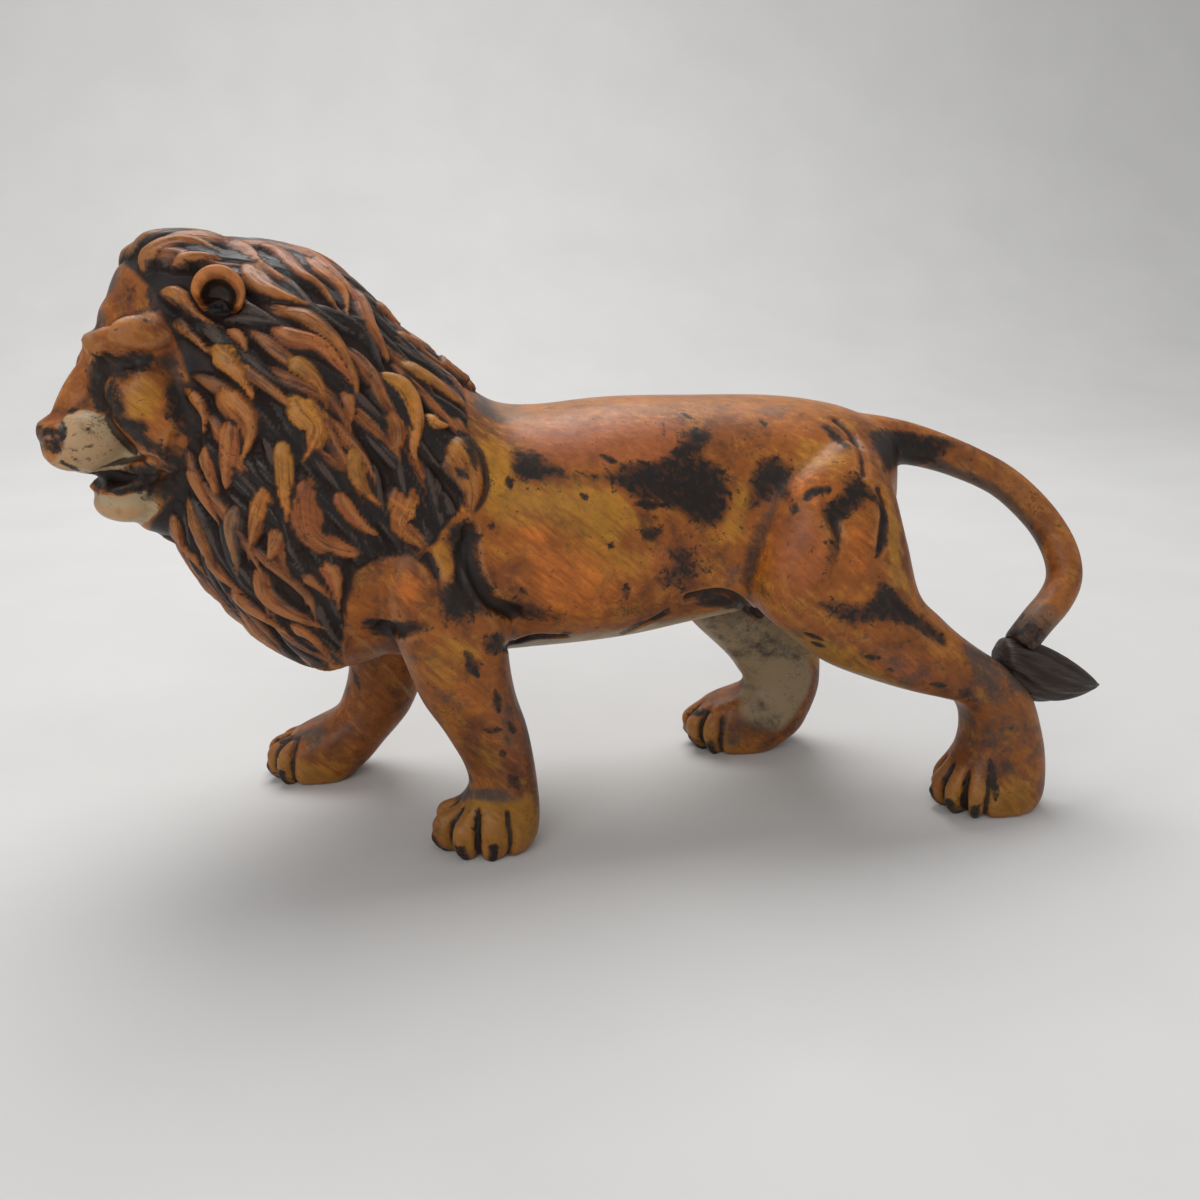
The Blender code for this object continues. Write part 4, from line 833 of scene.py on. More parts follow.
def bakedMesh(thing):
    graph = bpy.context.evaluated_depsgraph_get()
    graph.update()
    mesh = bpy.data.meshes.new_from_object(thing.evaluated_get(graph))
    thing.modifiers.clear()
    old = thing.data
    thing.data = mesh
    bpy.data.meshes.remove(old)
    return thing


def turnOut(mesh, triangles=False):
    # faces turned outwards
    work = bmesh.new()
    work.from_mesh(mesh)
    if triangles:
        bmesh.ops.triangulate(work, faces=work.faces)
    bmesh.ops.recalc_face_normals(work, faces=work.faces)
    work.to_mesh(mesh)
    work.free()


def makeSmooth(mesh):
    mesh.polygons.foreach_set("use_smooth", np.ones(len(mesh.polygons), bool))


def readArray(items, name, width=1, kind=float):
    # one property of every item, a row for each where it has several values
    values = np.empty(len(items) * width, kind)
    items.foreach_get(name, values)
    return values.reshape(-1, width) if width > 1 else values


def meshPoints(mesh):
    return readArray(mesh.vertices, "co", 3) / millimetre


def meshNormals(mesh):
    return readArray(mesh.vertex_normals, "vector", 3)


def setPoints(mesh, points):
    mesh.vertices.foreach_set("co", (points * millimetre).ravel())
    mesh.update()


def spread(values, edges, times, keep=0.0):
    # average of each point's neighbours, repeated; keep is how much of the old value stays
    count = len(values)
    near = np.bincount(edges.ravel(), minlength=count).astype(float)[:, None]
    one, two = edges.T
    flat = values.reshape(count, -1)
    for _ in range(times):
        total = [np.bincount(one, part[two], count) + np.bincount(two, part[one], count) for part in flat.T]
        flat = keep * flat + (1 - keep) * np.stack(total, axis=1) / near
    return flat.reshape(values.shape)


def voxelSize():
    return clay["voxel"]


def timesFor(distance):
    # rounds of spreading that even a surface out over a distance in millimetres
    return max(1, round(2 * (distance / voxelSize()) ** 2))


def eased(points, edges, weight, rate, times):
    # every point moves towards the middle of its neighbours, by its own weight
    for _ in range(times):
        points = points + weight[:, None] * rate * (spread(points, edges, 1) - points)
    return points


def sunkenBy(points, normals, edges, reach):
    # how far a point lies below the middle of what surrounds it within a reach
    return ((spread(points, edges, timesFor(reach)) - points) * normals).sum(axis=1)


def surfaceTree(mesh):
    faces = [list(face.vertices) for face in mesh.polygons]
    return BVHTree.FromPolygons([Vector(p) for p in meshPoints(mesh)], faces)


def onSurface(tree, x, y):
    # the first place that the line of sight meets, and its normal; a near miss looks round about
    eye = Vector(camera["place"])
    for shift in (0, 3, 6, 10, 15, 22, 30):
        for dx, dy in ((shift, 0), (-shift, 0), (0, shift), (0, -shift)):
            hit, normal, _, _ = tree.ray_cast(eye, Vector(pixelWay(x + dx, y + dy)))
            if hit is not None:
                return np.array(hit), np.array(normal)
    print("nothing at", x, y)
    return None


def guideLine(tree, places, steps):
    # a smooth line laid on the clay through picture places
    drawn = smoothRows(places, steps) if len(places) > 2 else np.linspace(*places, steps)
    found = [f for f in (onSurface(tree, x, y) for x, y in drawn) if f]
    line, normals = [np.array([f[k] for f in found]) for k in (0, 1)]
    for _ in range(2):  # evens out steps where the clay folds
        line[1:-1] = (line[:-2] + 2 * line[1:-1] + line[2:]) / 4
    return line, normals


def nearLine(points, line, normals, reach):
    # for the points within reach: how far along the line, how far across it and how far off it they lie
    low, high = line.min(axis=0) - reach, line.max(axis=0) + reach
    chosen = np.nonzero(((points > low) & (points < high)).all(axis=1))[0]
    if not len(chosen):
        return chosen, None, None, None
    near = points[chosen]
    start, step = line[:-1], np.diff(line, axis=0)
    square = np.maximum((step**2).sum(axis=1), 1e-9)
    share = np.clip(((near[:, None] - start) * step).sum(axis=2) / square, 0.0, 1.0)
    foot = start + share[..., None] * step
    gap = np.linalg.norm(near[:, None] - foot, axis=2)
    best = gap.argmin(axis=1)
    pick = np.arange(len(near))
    far = gap[pick, best]
    along = (best + share[pick, best]) / len(step)
    across = unit(np.cross(normals[best], step[best]))
    sideways = ((near - foot[pick, best]) * across).sum(axis=1)
    return chosen, along, np.where(sideways < 0, -1, 1) * far, far


def insideOutline(places, outline):
    # even-odd count of the outline's crossings to the right of each place
    x, y = places.T
    odd = np.zeros(len(places), bool)
    for (x0, y0), (x1, y1) in zip(outline, outline[1:] + outline[:1]):
        spans = (y0 > y) != (y1 > y)
        odd ^= spans & (x < (x1 - x0) * (y - y0) / ((y1 - y0) or 1e-9) + x0)
    return odd


def nearSide(points):
    # far-side points brought over to the side that shows: the head mirrors across its own middle
    _, side, neck = headAxes()
    out = (points - neck) @ side
    head = points[:, 0] < lion["headRear"]
    made = points.copy()
    made[~head, 1] = -np.abs(points[~head, 1])
    made[head] -= (2 * np.maximum(out[head], 0.0))[:, None] * side
    return made


def facingCamera(points, normals):
    # 0 where the clay looks away from the camera, 1 where it shows
    way = np.array(camera["place"]) - points
    return smoothStep(*slopes["camera"], (normals * way).sum(axis=1))


def buildClay():
    grids = [torsoGrid(), loweredMane(-clay["maneInset"], clay["maneDrop"]), *headGrids()]
    for limb in limbs.values():
        grids.append(limbGrid(limb, 0.0, max(clay["legTop"], lion["backHeight"] * limb["shares"][-1][0])))
        grids += toeGrids(limb)
    points, faces = gridMesh(*grids, tubeGrid(*tailLine(), 28))
    points[:, 2] = np.maximum(points[:, 2], 0.0)
    thing = makeObject("clay", (points, faces))
    change = thing.modifiers.new("clay", "REMESH")
    change.mode = "VOXEL"
    change.voxel_size = voxelSize() * millimetre
    mesh = bakedMesh(thing).data
    edges = readArray(mesh.edges, "vertices", 2, np.int64)
    points = spread(meshPoints(mesh), edges, timesFor(clay["firstSmooth"]))
    setPoints(mesh, points)
    # forms run into each other: hollows between them are filled and rounded more than the rest
    for _ in range(3):
        sunken = sunkenBy(points, meshNormals(mesh), edges, clay["hollowReach"])
        hollow = spread(smoothStep(*spans["hollow"], sunken), edges, timesFor(clay["hollowSpread"]))
        hollow *= smoothStep(*spans["hollowZ"], points[:, 2])
        points = eased(points, edges, hollow, 0.7, timesFor(clay["creaseSmooth"]) // 2)
        setPoints(mesh, points)
    # the mane's rear edge runs out over the shoulders, and the thigh's top into the rump without a ledge
    x, y, z = points.T
    band = smoothBand(*spans["maneEdgeX"], x) * smoothStep(*spans["maneEdgeZ"], z)
    rump = smoothBand(*spans["rumpX"], x) * smoothStep(*spans["rumpY"], np.abs(y))
    rump *= smoothStep(*spans["rumpZ"], z)
    setPoints(mesh, eased(points, edges, np.maximum(band, rump), 0.8, timesFor(clay["bandSmooth"])))
    print("clay:", len(points), "points")
    return thing


def lockShape(along, across, half, rise, seed):
    # leaf: half width = half * min(along / 0.28, 1)^0.6 * min((1 - along) / 0.6, 1)^0.8, pointed at each
    # end; one flank slopes and the other drops off, and the back carries strands along it
    width = half * np.clip(along / 0.28, 0, 1) ** 0.6 * np.clip((1 - along) / 0.6, 0, 1) ** 0.8 + 0.05
    lean = 0.45 * math.sin(6.28 * seed)
    q = across / width
    q = (q - lean) / np.where(q > lean, 1 - lean, 1 + lean)
    arch = np.clip(1 - np.abs(q) ** 1.5, 0, 1) ** 0.8
    tipFall = (1 - lockCut["tipShare"]) * np.clip((along - 0.6) / 0.4, 0, 1)
    lift = np.clip(along / 0.25, 0, 1) ** 0.8 * (1 - tipFall)
    comb = np.cos(2 * math.pi * (across / lockCut["strandWidth"] + seed + 0.6 * along))
    height = rise * lift * arch + lockCut["strandDepth"] * comb * np.sqrt(arch) * np.clip(along * 4, 0, 1)
    paint = smoothStep(1.0, 0.38, np.abs(q)) ** 0.8 * np.clip(along / 0.07, 0, 1)
    return np.where(np.abs(q) < 1, height, 0.0), paint, q


def flowWay(place, normal, centre):
    # away from the face, pulled down more the further back the hair lies, and kept on the surface
    away = place - centre
    way = unit(away) - upright * np.linalg.norm(away) / lockCut["pull"]
    return unit(way - (way @ normal) * normal)


def fillLocks(tree, points, weight):
    # more locks wherever no traced one lies, each following the hair's flow with a gentle wave
    centre = headPoint(*lockCut["flowFrom"], 0.0)
    chosen = np.nonzero(weight > 0.5)[0]
    rng.shuffle(chosen)
    cells, seeds = {}, []
    size, steps = lockCut["fillSpacing"], lockCut["fillSteps"]
    around = [(dx, dy, dz) for dx in (-1, 0, 1) for dy in (-1, 0, 1) for dz in (-1, 0, 1)]
    for place in points[chosen[:lockCut["fillTries"]]]:
        cell = (place // size).astype(int)
        close = [p for shift in around for p in cells.get(tuple((cell + shift).tolist()), ())]
        if close and np.linalg.norm(np.array(close) - place, axis=1).min() < size:
            continue
        cells.setdefault(tuple(cell.tolist()), []).append(place)
        seeds.append(place)
    made = []
    for place in seeds:
        length = lockCut["fillLength"] * rng.uniform(0.75, 1.25)
        bend = rng.uniform(-0.5, 0.5)
        line, normals = [], []
        here = Vector(place)
        for step in range(steps):
            hit, normal, _, _ = tree.find_nearest(here)
            line.append(np.array(hit))
            normals.append(np.array(normal))
            way = flowWay(line[-1], normals[-1], centre)
            way = way + np.cross(normals[-1], way) * bend * math.sin(2 * math.pi * step / steps)
            here = Vector(line[-1] + unit(way) * length / steps)
        made.append((np.array(line), np.array(normals), lockCut["fillHalf"] * rng.uniform(0.75, 1.3)))
    return made


def allLocks(tree, points, mane):
    # the traced locks on both sides first, then those between them
    locks, taken = [], []
    for name, half, *places in maneLocks:
        line, way = guideLine(tree, places, lockCut["steps"])
        for sign in (1, -1):
            path, out = line * (1, sign, 1), way * (1, sign, 1)
            if sign < 0 and line[:, 0].min() < lion["faceRear"]:
                hits = [tree.find_nearest(Vector(p)) for p in mirrorHead(line)]
                path, out = [np.array([hit[k] for hit in hits]) for k in (0, 1)]
            rise = lockCut["rise"] * rng.uniform(0.85, 1.15)
            locks.append((name, half * lockCut["widen"], path, out, rise))
            taken.append(path)
    taken = np.concatenate(taken)
    drawn, painted = len(locks), ("ember", "rust", "ochre")
    for line, way, half in fillLocks(tree, points, mane):
        # beside the traced locks the others stay dark
        middle = len(line) // 2
        sight = way[middle] @ (np.array(camera["place"]) - line[middle])
        nearest = np.linalg.norm(taken - line[middle], axis=1).min()
        names = fillPaints["close" if sight > 40 or nearest < 7 else "open"]
        name = names[rng.integers(len(names))]
        grow = lockCut["paintedGrow"] if name in painted else 1.0
        rise = lockCut["fillRise"] * rng.uniform(0.8, 1.25) * grow
        locks.append((name, half * grow, line, way, rise))
    print("locks:", len(locks), "of them", len(locks) - drawn, "between the traced ones")
    return locks, drawn


def layLocks(skin, paint, points, locks, drawn, softMane):
    # where locks overlap, the one that stands highest there shows
    for number, (name, half, line, way, rise) in enumerate(locks):
        chosen, along, across, _ = nearLine(points, line, way, half + 1.5)
        seed, shade = rng.uniform(0, 1), rng.uniform(0.2, 0.9)
        if not len(chosen):
            continue
        shape, cover, q = lockShape(along, across, half, rise, seed)
        if number >= drawn:
            shape = shape * softMane[chosen]
        wins = shape > skin["top"][chosen]
        hit, slope = chosen[wins], along[wins]
        skin["top"][hit] = shape[wins]
        length = np.linalg.norm(np.diff(line, axis=0), axis=1).sum()
        skin["flowAcross"][hit] = across[wins]
        skin["flowAlong"][hit] = slope * length
        skin["flowLock"][hit] = 7.0 * number
        # darker down the steep flank
        skin["tone"][hit] = shade - 0.35 * np.clip(np.abs(q[wins]) - 0.3, 0, 1)
        *layers, hides = [root + (tip - root) * slope for root, tip in zip(*lockPaints[name])]
        for layer, value in zip(lockLayers, layers):
            paint[layer][hit] = value
        skin["covered"][hit] = cover[wins] * hides


def carveLines(tree, points, height):
    for depth, half, *places in carvedLines.values():
        line, way = guideLine(tree, places, max(8, 6 * len(places)))
        onHead = line[:, 0].max() < lion["faceRear"]
        depth *= 1.0 if onHead else relief["bodyLineGain"]
        for path in (line, mirrorHead(line) if onHead else line * (1, -1, 1)):
            chosen, _, _, far = nearLine(points, path, way, half * 2 + 3)
            if len(chosen):
                height[chosen] -= depth * np.clip(1 - (far / (half * 1.6)) ** 2, 0, 1)


def carvePaws(points, height, dark):
    # grooves between the toes, a knuckle on each and a dark claw at its foot
    z = points[:, 2]
    for limb in limbs.values():
        middle, angles = pawFrame(limb)
        offset = points[:, :2] - middle
        out = np.linalg.norm(offset, axis=1)
        turn = np.arctan2(limb["side"] * offset[:, 1], -offset[:, 0])
        near = (out < paws["reach"]) & (z < paws["reachHeight"])
        near = near * smoothStep(*paws["middle"], out)
        low = near * (1 - smoothStep(paws["grooveTop"], paws["grooveEnd"], z))
        halfGap = (angles[1] - angles[0]) / 2
        gaps = [*(angles[:-1] + halfGap), angles[0] - halfGap, angles[-1] + halfGap]
        for place, share in zip(gaps, [1] * (len(angles) - 1) + [paws["outerGroove"]] * 2):
            groove = np.exp(-(out * np.sin(turn - place) / paws["grooveHalf"]) ** 2)
            groove *= (np.cos(turn - place) > 0) * low * share
            height -= paws["grooveDepth"] * groove
            dark[:] = np.maximum(dark, paws["grooveDark"] * groove)
        for place in angles:
            toe = (np.cos(turn - place) > 0) * near
            across = out * np.sin(turn - place)
            far = np.hypot(across, z - paws["knuckleHeight"]) / paws["knuckleHalf"]
            height += paws["knuckle"] * toe * np.exp(-far**2)
            claw = toe * np.exp(-(across / paws["clawHalf"]) ** 2)
            claw *= 1 - smoothStep(paws["clawTop"] - paws["clawFade"], paws["clawTop"], z)
            height += paws["clawSwell"] * claw
            dark[:] = np.maximum(dark, claw)


def sinkEars(points):
    # a round pocket under each ear
    pockets = np.zeros(len(points))
    for sign, node in ((-1, "ear_left"), (1, "ear_right")):
        centre, axis, _, _ = earAxes(sign, node)
        deep = (points - centre) @ axis
        wide = np.linalg.norm(points - centre - deep[:, None] * axis, axis=1)
        near = np.abs(deep) < ear["reach"]
        sink = np.where(near & (wide < ear["pocket"] + 1.5), np.maximum(deep + ear["deep"], 0.0), 0.0)
        hole = near * (1 - smoothStep(ear["pocket"] - 0.6, ear["pocket"] + 0.6, wide))
        points = points - (sink * hole)[:, None] * axis
        pockets = np.maximum(pockets, hole)
    return points, pockets


def keepInBox(points):
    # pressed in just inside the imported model's box
    low, high = [np.array(corner) / millimetre for corner in cadBox]
    high = high - clay["boxGap"]
    x, y, z = points.T
    x = -squeezed(-squeezed(x, high[0], clay["squeeze"]), -low[0] - clay["boxGap"], clay["noseSqueeze"])
    y = np.sign(y) * squeezed(np.abs(y), high[1], clay["squeeze"])
    return np.stack([x, y, np.maximum(squeezed(z, high[2], clay["squeeze"]), 0.0)], axis=1)


def markField(tree, points, marks, onHead=False):
    # fades straight out from each mark's line, one half left at its radius, which narrows towards both
    # ends; the far flank and the far side of the head are painted alike
    field = np.zeros(len(points))
    for strength, radius, *places in marks:
        line, normals = guideLine(tree, places, max(6, 5 * len(places)))
        if not len(line):
            continue
        for path, sign in ((line, 1), (mirrorHead(line) if onHead else line * (1, -1, 1), -1)):
            chosen, along, _, far = nearLine(points, path, normals * (1, sign, 1), radius * 2.2 + 6.0)
            if len(chosen):
                broad = radius * (0.4 + 0.6 * np.sin(math.pi * along)) if len(places) == 2 else radius
                field[chosen] = np.maximum(field[chosen], strength * np.clip(1 - far / (2 * broad), 0, 1))
    return field


def stencilField(seen, facing, edges, marks):
    # each outline filled where the clay faces the camera, and its edge softened over its own width
    field = np.zeros(len(seen))
    for strength, feather, outline in marks:
        shape = insideOutline(seen, outline) * facing
        if shape.any():
            field = np.maximum(field, strength * spread(shape, edges, timesFor(feather)))
    return field


def hairRegion(points, edges):
    # 1 where the mane grows; the legs below the hair and the belly behind it stay bare
    seen = pictureOf(nearSide(points))
    x, _, z = points.T
    face = insideOutline(seen, regions["face"]) & (x < lion["faceRear"])
    mane = insideOutline(seen, regions["mane"]) * (1.0 - face) * (x < lion["hairRear"])
    mane *= 1 - smoothStep(*spans["behindForelegX"], x) * (1 - smoothStep(*spans["aboveLegZ"], z))
    mane *= smoothStep(*spans["chestZ"], z)
    return smoothStep(0.2, 0.8, spread(mane, edges, timesFor(clay["maneSpread"])))


def shapeClay(thing):
    # muscles, locks, carved lines, paws and ear pockets, as a height over the clay
    mesh = thing.data
    points, normals = meshPoints(mesh), meshNormals(mesh)
    edges = readArray(mesh.edges, "vertices", 2, np.int64)
    tree = surfaceTree(mesh)
    mane = hairRegion(points, edges)
    none = np.zeros(len(points))
    height = none.copy()
    for x, y, radius, lift in bodySwells:
        centre, _ = onSurface(tree, x, y)
        for sign in (1, -1):
            far = np.linalg.norm(points - centre * (1, sign, 1), axis=1)
            height += relief["swellGain"] * lift * np.exp(-(far / radius) ** 2)
    print("muscles done")

    skin = {name: none.copy() for name in ("top", "covered", "dark", "flowAcross", "flowAlong", "flowLock")}
    skin["tone"] = none + 0.5
    paint = {name: none.copy() for name in (*lockLayers, "cream")}
    softMane = spread(mane, edges, timesFor(clay["softSpread"])) * mane
    layLocks(skin, paint, points, *allLocks(tree, points, mane), softMane)
    top, covered = skin["top"], spread(skin["covered"], edges, 1, 0.5)
    hairy = np.maximum(mane, smoothStep(0.05, 0.4, top))
    for name in paint:
        paint[name] = spread(paint[name], edges, 1, 0.5)
    height += top - 0.7 * softMane * (1 - smoothStep(0.0, 0.7, top))

    carveLines(tree, points, height)
    # mould seam: a low ridge down the chest and under the belly
    ridge = seam["height"] * np.exp(-(points[:, 1] / seam["half"]) ** 2)
    ridge *= smoothBand(*seam["span"], points[:, 0]) * (1 - smoothStep(*slopes["seam"], normals[:, 2]))
    height += ridge
    carvePaws(points, height, skin["dark"])
    # the locks run low along the top of the crown, where the outline is smooth
    crown = hairy * smoothStep(*slopes["crown"], normals[:, 2]) * smoothStep(*spans["crownZ"], points[:, 2])
    height *= 1 - 0.45 * crown
    out = spread(normals, edges, timesFor(clay["normalSpread"]))
    points = spread(points + unit(out) * height[:, None], edges, 1, 0.7)
    points, pockets = sinkEars(points)
    setPoints(mesh, keepInBox(points))
    skin["dark"] = np.maximum(skin["dark"], pockets)
    skin |= {"mane": mane, "covered": covered, "hairy": hairy, "ridge": ridge}
    skin["ground"] = hairy * (1 - covered)
    return skin, paint


def paintClay(thing, skin, paint):
    # what lies deep or stands proud, then the brushed and the stencilled paint, kept as colour layers
    mesh = thing.data
    points, normals = meshPoints(mesh), meshNormals(mesh)
    edges = readArray(mesh.edges, "vertices", 2, np.int64)
    tree = surfaceTree(mesh)
    hairy, dark = skin["hairy"], skin["dark"]
    reaches = (clay["fineReach"], clay["wideReach"])
    fine, wide = [sunkenBy(points, normals, edges, reach) for reach in reaches]
    gain, wideGain = paintLevels["cavityGain"], paintLevels["wideGain"]
    cavity = np.clip(gain * np.maximum(fine, 0) + wideGain * np.maximum(wide, 0), 0, 1)
    # ridges take the light crest paint: dry-brushed paint and a painted highlight
    crest = np.clip(gain * np.maximum(-fine, 0) + 0.8 * wideGain * np.maximum(-wide, 0), 0, 1)
    print("sculpted, cavity mean", round(float(cavity.mean()), 3))

    x, y, z = points.T
    near, turned = nearSide(points), normals.copy()
    turned[(y > 0) & (x > lion["headRear"]), 1] *= -1
    facing = facingCamera(near, turned)
    facing[x < lion["headRear"]] = 1.0
    farLeg = (y > 7) & (z < 50)  # the far legs show too, so their paint is their own
    near[farLeg] = points[farLeg]
    facing[farLeg] = facingCamera(points, normals)[farLeg]
    seen = pictureOf(near)
    fields = {name: stencilField(seen, facing, edges, marks) for name, marks in stencils.items()}
    for name in paint:
        paint[name] = np.maximum(paint[name] * (1 - 0.6 * fields[name]), fields[name] * (1 - 0.7 * hairy))

    up, down = normals[:, 2], -normals[:, 2]
    inward = smoothStep(*slopes["inward"], -normals[:, 1] * np.sign(y)) * (x > 0)
    inward *= smoothBand(*spans["innerLegZ"], z)
    belly = smoothStep(*slopes["belly"], down) * (x > -45) * (x < 66) * smoothStep(*spans["bellyZ"], z)
    tailUnder = smoothStep(*slopes["tailUnder"], down) * (np.abs(y) < 24)
    tailUnder *= smoothStep(*spans["tailX"], x) * smoothStep(*spans["tailZ"], z)
    tailEnd = np.linalg.norm(points - tailLine()[0][-1], axis=1)
    # the upward faces on top of the back take the light crest paint: a painted highlight
    wearAndSheen = smoothStep(*slopes["wearAndSheen"], up) * (1 - hairy) * (x < 70) * (z > 80)
    seamPaint = spread(markField(tree, points, paleMarks), edges, 1, 0.5)
    # the grey smoke on the inner hind legs and under the tail is painted shade; the tail's end is
    # smoke-grey paint
    for layer in (0.5 * inward, 0.95 * tailUnder, 1 - smoothStep(*spans["tailSmoke"], tailEnd)):
        paint["smoke"] = np.maximum(paint["smoke"], layer)
    for layer in (seamPaint, 1.6 * skin["ridge"], 0.60 * inward, 0.7 * belly):
        paint["cream"] = np.maximum(paint["cream"], layer)
    for layer in (markField(tree, points, darkMarks), 0.75 * (1 - smoothStep(*spans["tailDark"], tailEnd)),
                  fields["dark"] * (1 - 0.4 * skin["mane"] * skin["covered"]),
                  markField(tree, points, faceMarks, onHead=True)):
        dark = np.maximum(dark, layer)
    # painted shade darkens the legs towards the paws, and painted light makes the flank the lightest
    flank = smoothStep(*spans["flankZ"], z) * (1 - smoothStep(*spans["flankX"], x))
    legs = 1 - smoothStep(*spans["legZ"], z)
    skin["tone"] += (0.26 * flank - 0.50 * legs) * (1 - hairy)
    setLayers(mesh, skin | paint | {"dark": dark, "cavity": cavity, "crest": np.maximum(crest, 0.9 * wearAndSheen)})
    layer = mesh.attributes.new("clayNormal", "FLOAT_VECTOR", "POINT")
    layer.data.foreach_set("vector", normals.ravel())
    makeSmooth(mesh)
    print("painted")
    clayPoints = KDTree(len(points))
    for index, place in enumerate(points):
        clayPoints.insert(place, index)
    clayPoints.balance()
    return clayPoints, {name: readLayer(mesh, name) for name in (*layerParts, "clayNormal")}


def setLayers(mesh, parts):
    # three parts to a colour layer; a part that isn't given is 0
    none = np.zeros(len(mesh.vertices))
    for name, kinds in layerParts.items():
        columns = [none + parts.get(kind, 0.0) for kind in kinds]
        columns += [none + 1.0] * (4 - len(columns))
        layer = mesh.attributes.new(name, "FLOAT_COLOR", "POINT")
        layer.data.foreach_set("color", np.stack(columns, axis=1).ravel())


def readLayer(mesh, name):
    kind, width = ("vector", 3) if name == "clayNormal" else ("color", 4)
    return readArray(mesh.attributes[name].data, kind, width)


def mendCut(mesh, clayPoints, clayValues):
    # points that a cut made take their paint and shading from the clay's nearest points
    fresh = np.nonzero(np.linalg.norm(readLayer(mesh, "clayNormal"), axis=1) < 0.5)[0]
    found = [clayPoints.find_n(place, 4) for place in meshPoints(mesh)[fresh]]
    index = np.array([[f[1] for f in group] for group in found])
    share = 1 / (np.array([[f[2] for f in group] for group in found]) + 0.05)
    share /= share.sum(axis=1)[:, None]
    for name, clayRows in clayValues.items():
        values = readLayer(mesh, name)
        values[fresh] = (clayRows[index] * share[..., None]).sum(axis=1)
        kind = "vector" if name == "clayNormal" else "color"
        mesh.attributes[name].data.foreach_set(kind, values.ravel())


ear = {"rings": 44, "around": 60, "forward": 24.0, "up": 4.0, "open": 196.0, "floor": -3.5, "stretch": 0.07,
       "inset": 0.5, "farInset": 1.5, "shift": (-1.1, 0.0, -1.0), "dip": 0.9, "dipFrom": (0.42, 0.68),
       "pocket": 4.6, "deep": 3.4, "reach": 9.0, "rim": 0.52, "rimHalf": 0.12,
       "cupFrom": (0.62, 0.78), "backTo": (0.15, 0.35), "cupDark": 0.9, "backDark": 0.7}
# radius and height along the cup's outline, from the middle of its back over the rim into its hollow
earProfile = (
    (0.05, -3.6), (3.0, -3.2), (4.5, -1.4), (5.0, 0.4), (4.95, 1.4), (4.45, 1.95), (3.5, 1.6), (2.9, 0.3),
    (1.9, -1.1), (0.05, -1.5),
)


def earAxes(sign, node):
    # the ear's middle, the way it opens, upwards across it and back across it
    forward, side, _ = headAxes()
    lean, rise = math.radians(ear["forward"]), math.radians(ear["up"])
    level = sign * side * math.cos(lean) * math.cos(rise)
    axis = unit(level + forward * math.sin(lean) + upright * math.sin(rise))
    above = unit(upright - (upright @ axis) * axis)
    sunk = ear["inset"] + (ear["farInset"] if sign > 0 else 0.0)
    low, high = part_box(node)
    middle = np.array([(a + b) / 2 / millimetre for a, b in zip(low, high)])
    return middle + ear["shift"] - axis * sunk, axis, above, np.cross(axis, above) * sign


def makeEar(name, sign, node, material):
    # a cup turned round its own axis, its rim gone at the lower front
    radius, stand = smoothRows(earProfile, ear["rings"]).T[..., None]
    centre, axis, above, ahead = earAxes(sign, node)
    turn = np.linspace(0, 2 * math.pi, ear["around"], endpoint=False)
    gone = smoothStep(0.1, 0.7, np.cos(turn - math.radians(ear["open"])))
    stand = stand * (1 - gone) + np.minimum(stand, ear["floor"]) * gone
    wide = (radius * (1 + ear["stretch"] * np.cos(turn)))[..., None]
    share = np.linspace(0, 1, ear["rings"])
    dip = ear["dip"] * smoothStep(*ear["dipFrom"], share)[:, None, None] * above
    roundWay = np.cos(turn)[:, None] * above + np.sin(turn)[:, None] * ahead
    made = makeObject(name, gridMesh(centre - dip + wide * roundWay + stand[..., None] * axis), material)
    cup = perRing(smoothStep(*ear["cupFrom"], share), ear["around"], 0.0, 1.0)
    back = perRing(1 - smoothStep(*ear["backTo"], share), ear["around"], 1.0, 0.0)
    rim = perRing(np.exp(-((share - ear["rim"]) / ear["rimHalf"]) ** 2), ear["around"], 0.0, 0.0)
    dark = np.maximum(cup * ear["cupDark"], back * ear["backDark"])
    # the rim takes the bright and crest paint, partly a painted highlight
    setLayers(made.data, {"dark": dark, "bright": rim, "crest": rim, "tone": 0.5})
    turnOut(made.data)
    finishPiece(made, node)


def makeTuft(material):
    # upright ovals from the tail's end to a point, with grooves combed along them
    rings, around = tuft["rings"], tuft["around"]
    along, drop, tall, wide = smoothRows(tuftShares, rings).T[..., None]
    x, y, z = tailLine()[0][-1]
    across, up = ovalRound(around, 2.0)
    turn = np.linspace(0, 2 * math.pi, around, endpoint=False)[None]
    wander = tuft["twist"] * along * math.pi + tuft["wander"] * np.sin(3 * turn)
    comb = np.cos(tuft["grooves"] * turn + wander)
    comb *= np.clip(along * 5, 0, 1) * np.clip((1 - along) * 3, 0, 1)
    cut = tuft["depth"] * (comb - 1)
    flat = np.zeros((rings, around))
    grid = np.stack([
        x + tuft["length"] * (along - tuft["startShare"]) + flat,
        y + np.maximum(tuft["halfWidth"] * wide + cut, 0.3) * across,
        z + tuft["length"] * drop + np.maximum(tuft["halfHeight"] * tall + cut, 0.3) * up,
    ], axis=2)
    made = makeObject("tailTuft", gridMesh(grid), material)
    hollow, crest = [np.append(np.clip(wave, 0, 1), [0, 0]) for wave in (-comb, comb)]
    ringWay = perRing(along[:, 0] * tuft["length"], around, 0.0, 1.0)
    roundWay = np.append(turn * tuft["halfHeight"] + flat, [0.0, 0.0])
    # the tuft's ridges take some light crest paint, partly a painted highlight
    setLayers(made.data, {"smoke": 1.0, "cavity": 0.8 * hollow, "crest": 0.3 * crest, "tone": 0.4,
                          "ground": 0.55, "hairy": 1.0, "flowAcross": roundWay, "flowAlong": ringWay})
    turnOut(made.data)
    finishPiece(made, "tail_tuft")


